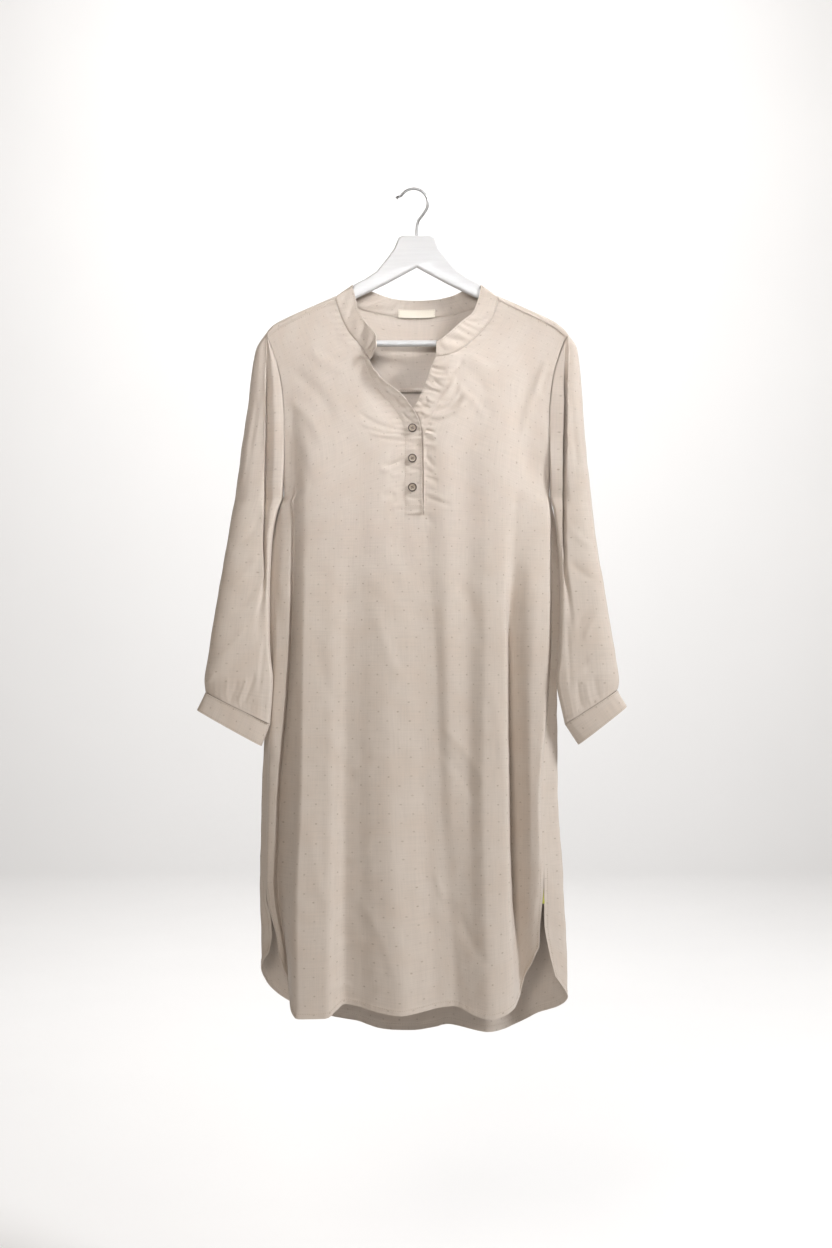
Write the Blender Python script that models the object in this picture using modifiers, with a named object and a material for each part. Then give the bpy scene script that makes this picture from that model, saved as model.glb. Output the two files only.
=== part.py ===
"""A midi dress on a plain wooden hanger, as the pieces that are cut and sewn.

Lengths in the tables are millimetres. Across is measured from the garment's centre line, positive
to the viewer's right. Depth is negative towards the viewer. Drop is measured down from the origin,
which is the inner top of the hook's crook, where the hanger hangs.
"""

from math import cos, pi, radians, sin

import bmesh
import bpy
from mathutils import Matrix

MM = 0.001
CENTRE_ACROSS = 4.4
WALL = 1.5
BAND_WALL = 1.7
CUFF_WALL = 2.2
EDGE_GAP = 0.25
SIDE_GAP = 0.4

# Rows of the body are counted in stations: 0 at the shoulder, 3 at the yoke seam, 9 under the arm,
# 10 at the foot of the placket, then waist, hip, top of the side slits and hem.
YOKE_STATION = 3
UNDERARM_STATION = 9
PLACKET_STATION = 10
HEM_STATION = 14
ROWS_PER_STATION = 2
LOWER_ROWS_PER_STATION = 4
LEVEL_DROPS = {10: 474, 11: 643, 12: 869, 13: 974}
SLIT_TILT = 0.05

# Shoulder ridge over the hanger: distance from the centre line, drop.
RIDGE = ((80, 136), (100, 146), (115, 152.5), (155, 170), (190, 186), (204, 194), (213, 203))
SHOULDER_DEPTH = 8.0
NECK_POINT, SHOULDER_POINT = 113, 212
# How far the forward shoulder seam lies below the ridge, at the neck and at the shoulder point.
SEAM_BELOW = (6, 9)
CHEST_SWELL = 3.5

# Armhole of the front, station by station: distance from the centre line, depth, drop.
ARMHOLE = (
    (212, -8.0, 212), (206, -9.5, 228), (198, -12, 252), (192, -13, 280), (189, -13.5, 306),
    (188, -13.5, 332), (188, -12.5, 358), (188, -10.5, 384), (189, -7, 412), (190, -0.6, 440),
)
BACK_DEPTH_SCALE = 1.05

# Neck seam and top edge of the band, from its left front end round the back to its right one:
# seam across, depth, drop, then top edge across, depth, drop.
NECK = (
    (-67, -28, 247, -57, -44, 232),
    (-80, -22, 227, -58, -33, 214),
    (-98, -15, 204, -72, -22, 194),
    (-109, -10, 180, -83, -13, 175),
    (-116.4, -8.2, 158.5, -88, -9, 152),
    (-116.1, -6.8, 155.2, -91.5, -8, 140),
    (-115.5, 0, 152.5, -92, 0, 135.5),
    (-113, 7.6, 155.5, -90, 8, 136.5),
    (-102, 12, 159.5, -81, 11.5, 138),
    (-84.5, 16, 166, -63, 15, 143),
    (-64.5, 18, 171, -44, 17, 150),
    (-27, 20, 178, -23, 19, 154),
    (0, 20.5, 179, 0, 19.5, 155),
    (27, 20, 178, 23, 19, 154),
    (64.5, 18, 172, 46, 17, 150),
    (84.5, 16, 167, 65, 15, 143),
    (102, 12, 159.5, 82, 11.5, 138),
    (113, 7.6, 155.5, 90, 8, 136.5),
    (115.5, 0, 152.5, 92, 0, 135.5),
    (116.1, -6.8, 155.2, 91.5, -8, 140),
    (116.4, -8.2, 158.5, 89, -9, 152),
    (108, -11, 184, 80, -14, 177),
    (91, -15, 206, 67, -22, 189),
    (67, -22, 228, 50, -30, 205),
    (46, -27, 240, 38, -34, 216),
    (27, -29, 243, 28, -36, 223),
)
NECK_LEFT_END, NECK_LEFT_CORNER = 0, 4
NECK_RIGHT_CORNER, NECK_RIGHT_END = 20, 25
NECK_BACK_FIRST, NECK_BACK_LAST = 8, 16
LEFT_NECK_STATIONS, RIGHT_NECK_STATIONS = 3, 4

# Where each front half meets its placket strip, from the neck down: across, depth, drop.
LEFT_PLACKET_SEAM = (
    (-80, -22, 227), (-73, -25, 250), (-62, -27, 276), (-45, -28.5, 300),
    (-29, -29.5, 321), (-19, -30, 341), (-17, -30, 362), (-17, -30, 466),
)
RIGHT_PLACKET_SEAM = (
    (46, -27, 240), (45, -28.5, 266), (38, -29.5, 290), (27, -30, 315),
    (16, -30, 339), (10.5, -30, 362), (10.5, -30, 466),
)
# Free edges of the two strips at the same stations.
OVER_EDGE = (
    (-67, -28, 247), (-60, -37, 264), (-40.5, -38, 282), (-23.5, -38, 295),
    (-9.5, -37, 312), (1, -35, 329), (6, -33, 350), (8.3, -32, 466),
)
UNDER_EDGE = (
    (27, -29, 243), (19, -27.5, 261), (13, -27, 279), (2, -26.5, 304),
    (-11, -26, 330), (-13.5, -25.5, 356), (-13.5, -25.5, 466),
)

# Lengthwise folds of the front, left to right: name, grid columns to the next one, then across and
# depth at the placket foot, waist, hip and slit top, then across, depth and drop at the hem.
FRONT_FOLDS = (
    ("left seam", 1, (-193, -4), (-203, -11), (-213, -15), (-214.5, -15), (-196, -13, 1091)),
    ("left strip", 1, (-187, -11), (-196.5, -18), (-206, -23), (-209, -20), (-192, -13, 1104)),
    ("left strip edge", 1, (-179, -16), (-182, -25), (-199.5, -26), (-203, -21), (-188, -11, 1115)),
    ("left trough", 2, (-175, -10), (-179, -10), (-196, -7), (-199, -5), (-184, -5, 1126)),
    ("left trough rise", 2, (-160, -21), (-161, -28), (-166, -34), (-173, -34), (-177, -33, 1157)),
    ("left ridge", 1, (-148, -26), (-148, -36), (-153, -43), (-160, -46), (-161, -50, 1176)),
    ("left ridge edge", 2, (-125, -27), (-125, -36), (-126, -43), (-127, -47), (-128, -51, 1173)),
    ("left valley", 3, (-94, -27), (-98, -32), (-100, -35), (-101, -36), (-101, -34, 1156)),
    ("middle ridge", 2, (-45, -30), (-43, -37), (-39, -46), (-35, -50), (-23, -54, 1169)),
    ("centre valley left", 1, (-17, -30), (4, -33), (14, -37), (20, -38), (31, -40, 1160)),
    ("centre valley right", 1, (10.5, -30), (24, -32), (32, -36), (40, -37), (52, -39, 1158)),
    ("small ridge", 1, (41, -31), (43, -36), (50, -39), (56, -39), (66, -43, 1162)),
    ("small valley", 1, (72, -27), (72, -32), (72, -38), (75, -42), (80, -48, 1169)),
    ("right ridge", 2, (98, -29), (98, -38), (95, -46), (97, -50), (102, -54, 1174)),
    ("right ridge edge", 1, (125, -26), (126, -34), (128, -41), (130, -43), (136, -41, 1162)),
    ("right trough", 2, (134, -16), (131, -11), (134, -7), (136, -6), (147, -12, 1148)),
    ("right strip edge", 1, (161, -18), (162, -28), (161, -32), (161, -29), (153, -13, 1123)),
    ("right strip", 1, (183, -11), (179, -23), (169, -33), (170, -31), (162, -20, 1104)),
    ("right seam", 0, (192, -4), (191, -14), (176, -28), (180, -27), (173, -25, 1079)),
)
LEFT_SLOT_FOLD, RIGHT_SLOT_FOLD = 9, 10

# Lengthwise folds of the back, with the centre pleat: across and depth at the yoke seam come first.
# The seams' own lines above the slits are the front's.
BACK_FOLDS = (
    ("left seam", 1, (-192, 13.5), (-193, -4), (-203, -11), (-213, -15), (-214.5, -15), (-211, -11, 1088)),
    ("left wrap", 1, (-188, 14), (-197, 2), (-208, -3), (-222, 1), (-224, 3), (-222, 4, 1113)),
    ("left back fold", 2, (-181, 15), (-186, 13), (-200, 15), (-213, 19), (-214, 24), (-214, 24, 1140)),
    ("left back ridge", 2, (-160, 17), (-160, 20), (-172, 26), (-180, 30), (-182, 33), (-184, 34, 1167)),
    ("left hollow", 2, (-122, 18), (-122, 18), (-126, 18), (-130, 18), (-130, 19), (-127, 21, 1185)),
    ("left middle ridge", 2, (-80, 19), (-80, 24), (-84, 27), (-86, 30), (-86, 33), (-85, 34, 1196)),
    ("pleat left side", 1, (-26, 19.5), (-30, 21), (-40, 22), (-52, 22), (-56, 22), (-54, 24, 1204)),
    ("pleat left edge", 1, (-23, 25), (-25, 27), (-28, 27), (-32, 25), (-36, 23), (-36, 22, 1206)),
    ("pleat middle", 1, (-3, 25.5), (-3, 28), (-3, 28), (-5, 27), (-6, 26), (-6, 24, 1207)),
    ("pleat right edge", 1, (17, 25), (19, 27), (22, 27), (26, 28), (30, 30), (26, 31, 1204)),
    ("pleat right side", 1, (20, 19.5), (24, 21), (34, 25), (42, 30), (46, 34), (46, 36, 1201)),
    ("right middle hollow", 2, (60, 19), (62, 22), (72, 20), (84, 19), (92, 19), (102, 20, 1209)),
    ("right middle ridge", 2, (122, 18), (122, 23), (130, 27), (140, 30), (143, 33), (143, 33, 1200)),
    ("right back ridge", 2, (160, 17), (160, 20), (166, 24), (174, 26), (178, 27), (176, 27, 1182)),
    ("right back fold", 1, (181, 15), (184, 13), (190, 14), (196, 16), (202, 17), (205, 16, 1170)),
    ("right wrap", 1, (188, 14), (197, 2), (199, -4), (203, -3), (209, -2), (216, 1, 1154)),
    ("right seam", 0, (192, 13.5), (192, -4), (191, -14), (176, -28), (180, -27), (197, -15, 1121)),
)

# Sleeves, station by station down to the underarm and then by drop: the drop at the outer edge, the
# outer edge, and the fold in front of the armhole, as distances from the centre line.
SLEEVE_TOP = {
    "left": ((213, 213, 203), (229, 213, 226), (236, 214, 262), (239, 214.5, 290), (242, 215, 316),
             (246, 215, 342), (250, 215.5, 368), (253.5, 216, 394), (257, 216.5, 418), (261, 217, 444)),
    "right": ((213, 213, 203), (229, 211, 226), (234, 210.5, 262), (236, 210, 290), (238, 210, 316),
              (240, 209.5, 342), (242, 209, 368), (244, 208.5, 394), (247, 208, 418), (250, 208, 444)),
}
# Drop, inner edge, fold, outer edge, middle depth, half thickness, fold depth.
SLEEVE_LOW = {
    "left": ((501, 205.5, 218, 270, -7, 15, 12), (572, 208.5, 215, 281, -15, 15, 5),
             (643, 208, 216, 292, -23, 15, 1), (700, 203, 216, 300, -28, 14, 0)),
    "right": ((501, 200, 208, 256, -7, 15, 11), (572, 203.5, 209, 267, -15, 15, 4),
              (643, 202, 210, 278, -23, 15, 1), (700, 197, 210, 286, -28, 14, 0)),
}
# Cuffs: inner and outer corner of the top edge and of the lower edge, as across and drop.
CUFF = {
    "left": ((207, 762), (298.5, 717), (219, 793), (310.5, 742)),
    "right": ((209, 762), (283.5, 714), (228, 791), (297, 737)),
}
CUFF_DEPTH, CUFF_HALF = -28, 13.5
CUFF_TURNS, CUFF_FLATNESS = 24, 0.35
SLEEVE_DROPS = (458, 478, 501, 525, 548, 572, 608, 643, 672, 700)
SLEEVE_END_HALF, SLEEVE_END_ABOVE_CUFF = 12.9, 0.9
SLEEVE_HOLD_OFF = 0.8
CAP_ACROSS = 213.2
# Around a sleeve from the front seam or inner edge over the front and back again: share of the
# width from the inner edge to the outer edge, share of the half thickness.
SLEEVE_SECTION = (
    (0.0, 0.0), (0.09, -0.82), (0.2, -1.0), (0.33, -1.0), (0.5, -1.02), (0.68, -0.98), (0.84, -0.8),
    (0.96, -0.42), (1.0, 0.0), (0.95, 0.45), (0.82, 0.82), (0.62, 1.0), (0.4, 1.02), (0.2, 0.92),
    (0.08, 0.62), (0.0, 0.0),
)
FOLD_COLUMN = 2

# Each button's station on the placket, and its drop.
BUTTONS = ((8.5, 344), (9.27, 386.5), (9.65, 427.5))
BUTTON_ACROSS = -6
BUTTON_RADIUS, BUTTON_THICK = 6.2, 2.6
BUTTON_SEAT, BUTTON_RIM, BUTTON_DISH = 0.3, 1.3, 0.7

# Both labels follow the panel they are sewn to, a small gap inside its wall.
LABEL_PLACES = (11.02, 11.5, 12, 12.5, 12.98)
LABEL_TOP, LABEL_FOOT, LABEL_THICK, LABEL_GAP = -10.5, 1, 0.6, 0.35
TAB_STATIONS = (13.26, 13.35, 13.45)
TAB_INNER, TAB_OUTER, TAB_THICK = -5, 1.5, 0.8

HANGER_THICK, HANGER_EDGE = 11.0, 3.0
# Right half of the hanger's outline, clockwise from the top: across, drop.
HANGER_HALF = (
    (0, 65.8), (20, 65.8), (26, 69), (28.6, 75.8), (32, 84), (41, 96.7), (57.5, 117.3), (74, 128),
    (87, 134.5), (90, 136.5), (91, 141), (100, 151), (108, 156), (114, 158.5), (122, 160.5), (155, 173.2),
    (190, 189.2),
    (200, 195.5), (206, 202), (208.5, 210), (208, 219), (204, 225), (198, 226), (196.5, 223),
    (196, 214), (190, 210.5), (155, 195), (115, 177), (88.3, 156), (44, 134.5), (0, 110.8),
)
BAR_RADIUS, BAR_DROP, BAR_HALF = 4.5, 219.5, 195.7
HOOK_WIRE, CROOK_RADIUS = 3.6, 20.4
HOOK_TIP = ((-24.6, 11.8), (-22.4, 9.9))
HOOK_TAIL = ((12.6, 36.4), (7.2, 43.2), (5.0, 50.0), (4.4, 57.5), (4.4, 65.5))

COLOURS = {
    "dress cloth": (0.585, 0.51, 0.42, 1),
    "painted wood": (0.93, 0.93, 0.93, 1),
    "button resin": (0.55, 0.45, 0.36, 1),
    "woven label": (0.85, 0.80, 0.72, 1),
    "care tape": (0.62, 0.62, 0.28, 1),
    "zinc wire": (0.52, 0.53, 0.54, 1),
}
METALS = ("zinc wire",)


def smooth(knots, values, at):
    """The value at a place, through values set at knots, without passing above or below them."""
    last = len(knots) - 1
    at = min(max(at, knots[0]), knots[last])
    steps = [knots[i + 1] - knots[i] for i in range(last)]
    rises = [(values[i + 1] - values[i]) / steps[i] for i in range(last)]
    slopes = [rises[0]]
    for before, after in zip(rises, rises[1:]):
        level = before * after <= 0
        slopes.append(0.0 if level else 2 * before * after / (before + after))
    slopes.append(rises[-1])
    i = next(k for k in range(last) if at <= knots[k + 1])
    t = (at - knots[i]) / steps[i]
    s = 1 - t
    return (values[i] * (1 + 2 * t) * s * s + values[i + 1] * (3 - 2 * t) * t * t
            + steps[i] * (slopes[i] * t * s * s - slopes[i + 1] * t * t * s))


def along(knots, points, at):
    """A point of a smooth line through points set at knots."""
    return tuple(smooth(knots, [p[i] for p in points], at) for i in range(len(points[0])))


def mix(a, b, t):
    return tuple(p + (q - p) * t for p, q in zip(a, b))


def ease(t):
    t = min(max(t, 0.0), 1.0)
    return t * t * (3 - 2 * t)


def ridge_drop(across):
    return smooth([r[0] for r in RIDGE], [r[1] for r in RIDGE], abs(across))


def armhole(station, side, face):
    """A point of the armhole, with side -1 or 1 and face -1 in front or 1 behind."""
    across, depth, drop = along(range(len(ARMHOLE)), ARMHOLE, station)
    behind = BACK_DEPTH_SCALE if station < UNDERARM_STATION else 1
    return (side * across, depth if face < 0 else -depth * behind, drop)


def neck_seam(at):
    return along(range(len(NECK)), [n[:3] for n in NECK], at)


def neck_top(at):
    return along(range(len(NECK)), [n[3:] for n in NECK], at)


def side_seam(station, side):
    """A point of the side seam from the underarm to the top of the slit."""
    fold = FRONT_FOLDS[0] if side < 0 else FRONT_FOLDS[-1]
    points = [(side * ARMHOLE[-1][0], 0, ARMHOLE[-1][2])]
    for level in (10, 11, 12, 13):
        across, depth = fold[level - 8]
        drop = LEVEL_DROPS[level] - (SLIT_TILT * across if level == 13 else 0)
        points.append((across, depth, drop))
    return along((9, 10, 11, 12, 13), points, station)


def front_outer(station, side):
    if station <= UNDERARM_STATION:
        return armhole(station, side, -1)
    return side_seam(station, side)


def front_inner(station, side):
    """A point where a front half ends at the neck seam and then at its placket strip."""
    if side < 0:
        if station <= LEFT_NECK_STATIONS:
            return neck_seam(NECK_LEFT_CORNER - station)
        return along(range(LEFT_NECK_STATIONS, 11), LEFT_PLACKET_SEAM, station)
    if station <= RIGHT_NECK_STATIONS:
        return neck_seam(NECK_RIGHT_CORNER + station)
    return along(range(RIGHT_NECK_STATIONS, 11), RIGHT_PLACKET_SEAM, station)


def shoulder_seam_drop(across):
    """Drop of the forward shoulder seam, closer under the ridge towards the neck."""
    share = (abs(across) - NECK_POINT) / (SHOULDER_POINT - NECK_POINT)
    return ridge_drop(across) + SEAM_BELOW[0] + (SEAM_BELOW[1] - SEAM_BELOW[0]) * share


def front_fold_point(index, station):
    """A point of one lengthwise fold of the front."""
    fold = FRONT_FOLDS[index]
    if station >= PLACKET_STATION:
        if station <= 13 and index in (0, len(FRONT_FOLDS) - 1):
            return side_seam(station, -1 if index == 0 else 1)
        return low_fold_point(fold[2:6], fold[6], station)
    side = -1 if index <= LEFT_SLOT_FOLD else 1
    end = FRONT_FOLDS[0 if side < 0 else -1][2]
    slot = FRONT_FOLDS[LEFT_SLOT_FOLD if side < 0 else RIGHT_SLOT_FOLD][2]
    share = (fold[2][0] - end[0]) / (slot[0] - end[0])
    across, depth, drop = mix(front_outer(station, side), front_inner(station, side), share)
    relief = fold[2][1] - (end[1] + (slot[1] - end[1]) * share)
    depth += relief * ease((station - 2) / 7)
    straight = mix(front_outer(0, side), front_inner(0, side), share)
    bow = shoulder_seam_drop(straight[0]) - straight[2]
    drop += bow * max(0, 1 - station / 4) ** 2
    depth -= CHEST_SWELL * sin(pi * share) * ease(station / 4)
    return (across, depth, drop)


def low_fold_point(levels, hem, station):
    """A point of a fold below the placket, through its levels and on to the hem."""
    points = []
    for level, (across, depth) in zip((10, 11, 12, 13), levels):
        tilt = SLIT_TILT * across if level == 13 else 0
        drop = LEVEL_DROPS[level] - tilt
        if level == 10:
            drop = placket_level_drop(across)
        points.append((across, depth, drop))
    if station <= 13:
        return along((10, 11, 12, 13), points, station)
    start = points[-1]
    near = along((10, 11, 12, 13), points, 12.9)
    t = station - 13
    slope = [(p - q) / 0.1 for p, q in zip(start, near)]
    slope[2] = hem[2] - start[2]
    bend = ease(t) if t < 1 else 1
    return tuple(p + m * t * (1 - t) ** 2 + (h - p) * (bend if i < 2 else t)
                 for i, (p, m, h) in enumerate(zip(start, (slope[0], slope[1], 0), hem)))


def placket_level_drop(across):
    """Rows tilt from the side seam up to the foot of the placket."""
    return 466 + 8 * min(1, max(0, (abs(across) - 17) / 175))


def columns_of(folds):
    """Grid column of each fold, and their total."""
    places = [0]
    for fold in folds[:-1]:
        places.append(places[-1] + fold[1])
    return places


def station_rows(first, last):
    """Stations of the rows from first to last, closer together in the upper body."""
    rows = []
    for station in range(first, last):
        count = ROWS_PER_STATION if station < PLACKET_STATION else LOWER_ROWS_PER_STATION
        rows += [station + k / count for k in range(count)]
    return rows + [last]


def spread(folds, point_of, rows):
    """Points of a sheet: smooth across its folds, on every row."""
    places = columns_of(folds)
    sheet = []
    for station in rows:
        points = [point_of(i, station) for i in range(len(folds))]
        sheet.append([along(places, points, column) for column in range(places[-1] + 1)])
    return sheet


def to_world(point):
    across, depth, drop = point
    return ((CENTRE_ACROSS + across) * MM, depth * MM, -drop * MM)


def pulled(sheet, left=0, right=0, top=0, bottom=0):
    """The sheet with its edges drawn in by small seam gaps."""
    rows = [list(row) for row in sheet]

    def move(r, c, to_r, to_c, gap):
        a, b = rows[r][c], sheet[to_r][to_c]
        length = sum((p - q) ** 2 for p, q in zip(a, b)) ** 0.5
        if length > 0:
            rows[r][c] = mix(a, b, gap / length)

    for r in range(len(rows)):
        move(r, 0, r, 1, left)
        move(r, -1, r, -2, right)
    for c in range(len(rows[0])):
        move(0, c, 1, c, top)
        move(-1, c, -2, c, bottom)
    return rows


def material(name):
    made = bpy.data.materials.get(name)
    if made:
        return made
    made = bpy.data.materials.new(name)
    made.use_nodes = True
    shader = made.node_tree.nodes["Principled BSDF"]
    shader.inputs["Base Color"].default_value = COLOURS[name]
    shader.inputs["Roughness"].default_value = 0.35 if name in METALS else 0.8
    shader.inputs["Metallic"].default_value = 1.0 if name in METALS else 0.0
    return made


def keep_object(name, data, finish):
    """Adds an object with its material to the dress collection."""
    made = bpy.data.objects.new(name, data)
    data.materials.append(material(finish))
    bpy.data.collections["midi_dress"].objects.link(made)
    return made


def cloth(name, sheet, finish="dress cloth", wall=WALL, cut=None, outside=-1):
    """A wall of cloth through a grid of points; cut names faces to leave out by column and row."""
    rows, columns = len(sheet) - 1, len(sheet[0]) - 1
    bm = bmesh.new()
    bmesh.ops.create_grid(bm, x_segments=columns, y_segments=rows, size=0.5)
    dropped = []
    for face in bm.faces:
        middle = face.calc_center_median()
        c, r = int((middle.x + 0.5) * columns), int((middle.y + 0.5) * rows)
        if cut and cut(c, r):
            dropped.append(face)
    for vert in bm.verts:
        c = round((vert.co.x + 0.5) * columns)
        r = round((vert.co.y + 0.5) * rows)
        vert.co = to_world(sheet[r][c])
    bmesh.ops.delete(bm, geom=dropped, context="FACES")
    bmesh.ops.remove_doubles(bm, verts=bm.verts, dist=0.01 * MM)
    if outside < 0:
        bmesh.ops.reverse_faces(bm, faces=bm.faces)
    mesh = bpy.data.meshes.new(name)
    bm.to_mesh(mesh)
    bm.free()
    mesh.shade_smooth()
    made = keep_object(name, mesh, finish)
    thick = made.modifiers.new("wall", "SOLIDIFY")
    thick.thickness = wall * MM
    thick.offset = -1
    thick.use_even_offset = False
    return made


def make_front():
    rows = station_rows(0, HEM_STATION)
    sheet = spread(FRONT_FOLDS, front_fold_point, rows)
    places = columns_of(FRONT_FOLDS)
    slot = range(places[LEFT_SLOT_FOLD], places[RIGHT_SLOT_FOLD])
    foot = rows.index(PLACKET_STATION)
    for r in range(foot):
        for c, to in ((slot[0], -1), (slot[-1] + 1, 1)):
            length = abs(sheet[r][c + to][0] - sheet[r][c][0])
            sheet[r][c] = mix(sheet[r][c], sheet[r][c + to], EDGE_GAP / length)
    sheet = pulled(sheet, left=SIDE_GAP, right=SIDE_GAP, top=EDGE_GAP)
    cloth("front", sheet, cut=lambda c, r: c in slot and r < foot)


def back_fold_point(index, station):
    fold = BACK_FOLDS[index]
    side = -1 if index == 0 else 1
    if index in (0, len(BACK_FOLDS) - 1) and station <= 13:
        if station <= UNDERARM_STATION:
            return armhole(station, side, 1)
        return side_seam(station, side)
    if station > PLACKET_STATION:
        return low_fold_point(fold[3:7], fold[7], station)
    across, depth = along((YOKE_STATION, PLACKET_STATION), (fold[2], fold[3]), station)
    beside = 1 if fold[2][0] > 0 else -1
    seam = armhole(station, beside, 1) if station <= UNDERARM_STATION else side_seam(station, beside)
    edge = seam[2]
    if index in (1, len(BACK_FOLDS) - 2):
        ends = BACK_FOLDS[0 if beside < 0 else -1]
        offsets = [(a - c, b - d) for (a, b), (c, d) in zip(fold[2:4], ends[2:4])]
        across, depth = (e + o for e, o in zip(seam, mix(offsets[0], offsets[1], ease((station - 8) / 2))))
    level = placket_level_drop(across) if station == PLACKET_STATION else edge
    return (across, depth, edge + (level - edge) * ease(station - 9))


def make_back():
    rows = station_rows(YOKE_STATION, HEM_STATION)
    sheet = spread(BACK_FOLDS, back_fold_point, rows)
    sheet = pulled(sheet, left=SIDE_GAP, right=SIDE_GAP, top=EDGE_GAP)
    cloth("back", sheet, outside=1)


# Over the hanger's arm from the back to the front: depth, drop under the ridge.
OVER_ARM = ((9.2, 20), (8.4, 8), (7.4, 4), (4.6, 1.2), (0, 0), (-4.6, 1.2), (-7.4, 3.8))
YOKE_NECK_HALF = 80


def neck_steps(first, last):
    """Places along the neck seam shared by every piece that is sewn to it."""
    steps = []
    for k in range(first, last):
        steps.append(k)
        if not NECK_BACK_FIRST <= k < NECK_BACK_LAST:
            steps.append(k + 0.5)
    return steps + [last]


def yoke_column(front, bottom_across):
    """From the back yoke seam over the shoulder to a point of the forward shoulder seam."""
    across = front[0]
    bottom = (bottom_across, yoke_flat_depth(bottom_across), ARMHOLE[YOKE_STATION][2])
    top = ridge_drop(across)
    over = [(across, depth, top + below) for depth, below in OVER_ARM]
    back_mid = mix(bottom, over[0], 0.5)
    return [bottom, back_mid] + over + [front]


def yoke_flat_depth(across):
    return 19.5 - 6 * (abs(across) / 192) ** 3


def yoke_neck_column(at, bottom_across):
    """From the back yoke seam up to a point of the neck seam, over the arm as far as that point."""
    seam = neck_seam(at)
    bottom = (bottom_across, yoke_flat_depth(bottom_across), ARMHOLE[YOKE_STATION][2])
    count = len(OVER_ARM) + 3
    depths = [depth for depth, _ in OVER_ARM] + [-SHOULDER_DEPTH - 0.5]
    if seam[1] >= depths[0]:
        return [mix(bottom, seam, ease(k / (count - 1))) for k in range(count)]
    full = yoke_column((seam[0], -SHOULDER_DEPTH, ridge_drop(seam[0]) + SEAM_BELOW[0]), bottom_across)
    step = next(k for k in range(len(depths) - 1) if depths[k + 1] <= seam[1])
    reach = 2 + step + (depths[step] - seam[1]) / (depths[step] - depths[step + 1])
    places = range(count)
    return [along(places, full, reach * k / (count - 1)) for k in range(count - 1)] + [seam]


def make_yoke():
    front = spread(FRONT_FOLDS, front_fold_point, [0])[0]
    places = columns_of(FRONT_FOLDS)
    left, right = front[:places[LEFT_SLOT_FOLD] + 1], front[places[RIGHT_SLOT_FOLD]:]
    outer, corner, bottom_outer = ARMHOLE[0][0], NECK[NECK_RIGHT_CORNER][0], ARMHOLE[YOKE_STATION][0]

    def under(point):
        share = (abs(point[0]) - corner) / (outer - corner)
        reach = YOKE_NECK_HALF + (bottom_outer - YOKE_NECK_HALF) * share
        return reach if point[0] > 0 else -reach

    columns = [yoke_column(point, under(point)) for point in left]
    steps = neck_steps(NECK_LEFT_CORNER, NECK_RIGHT_CORNER)
    for k, step in enumerate(steps[1:-1], 1):
        reach = (2 * k / (len(steps) - 1) - 1) * YOKE_NECK_HALF
        columns.append(yoke_neck_column(step, reach))
    columns += [yoke_column(point, under(point)) for point in right]
    for column, side in ((columns[0], -1), (columns[-1], 1)):
        for k, station in ((1, 1.6), (2, 0.4)):
            column[k] = armhole(station, side, 1)
    sheet = [[column[k] for column in columns] for k in range(len(columns[0]))]
    sheet = pulled(sheet, left=SIDE_GAP, right=SIDE_GAP, top=EDGE_GAP, bottom=EDGE_GAP)
    cloth("back_yoke", sheet, outside=1)


def make_band():
    steps = neck_steps(NECK_LEFT_END, NECK_RIGHT_END)
    sheet = [[mix(neck_seam(s), neck_top(s), t) for s in steps] for t in (1, 0.5, 0)]
    cloth("collar_band", pulled(sheet, bottom=EDGE_GAP), wall=BAND_WALL, outside=1)


def make_placket(name, seam, edge, first, side):
    """One strip of the half placket, between its seam and its free edge."""
    stations = [s for s in station_rows(first, PLACKET_STATION)]
    knots = range(first, PLACKET_STATION + 1)
    sheet = []
    for station in stations:
        start, end = along(knots, seam, station), along(knots, edge, station)
        row = [mix(start, end, t) for t in (0, 0.35, 0.7, 1)]
        sheet.append(row if side < 0 else row[::-1])
    neck = NECK_LEFT_END + 1 if side < 0 else NECK_RIGHT_END - 1
    toward = -1 if side < 0 else 1
    top = [neck_seam(neck + toward * t) for t in (0, 0.35, 0.7, 1)]
    sheet[0] = top if side < 0 else top[::-1]
    gaps = {"left": EDGE_GAP} if side < 0 else {"right": EDGE_GAP}
    cloth(name, pulled(sheet, top=EDGE_GAP, bottom=2 * EDGE_GAP, **gaps))


def make_sleeve(name, side):
    sign = -1 if side == "left" else 1
    sheet = []
    for station in station_rows(0, UNDERARM_STATION):
        sheet.append(sleeve_top_ring(side, sign, station))
    knots = [ARMHOLE[-1][2]] + [low[0] for low in SLEEVE_LOW[side]]
    under = (ARMHOLE[-1][0] + 3, SLEEVE_TOP[side][-1][1], SLEEVE_TOP[side][-1][0], 0, 16, 13)
    lows = [under] + [low[1:] for low in SLEEVE_LOW[side]]
    for drop in SLEEVE_DROPS:
        sheet.append(sleeve_low_ring(sign, drop, along(knots, lows, drop)))
    (inner, inner_drop), (outer, outer_drop) = CUFF[side][:2]
    sheet.append([(sign * (inner + (outer - inner) * share), CUFF_DEPTH + depth * SLEEVE_END_HALF,
                   inner_drop + (outer_drop - inner_drop) * share - SLEEVE_END_ABOVE_CUFF)
                  for share, depth in SLEEVE_SECTION])
    if sign > 0:
        sheet = [row[::-1] for row in sheet]
    cloth(name, sheet, outside=1)


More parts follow.
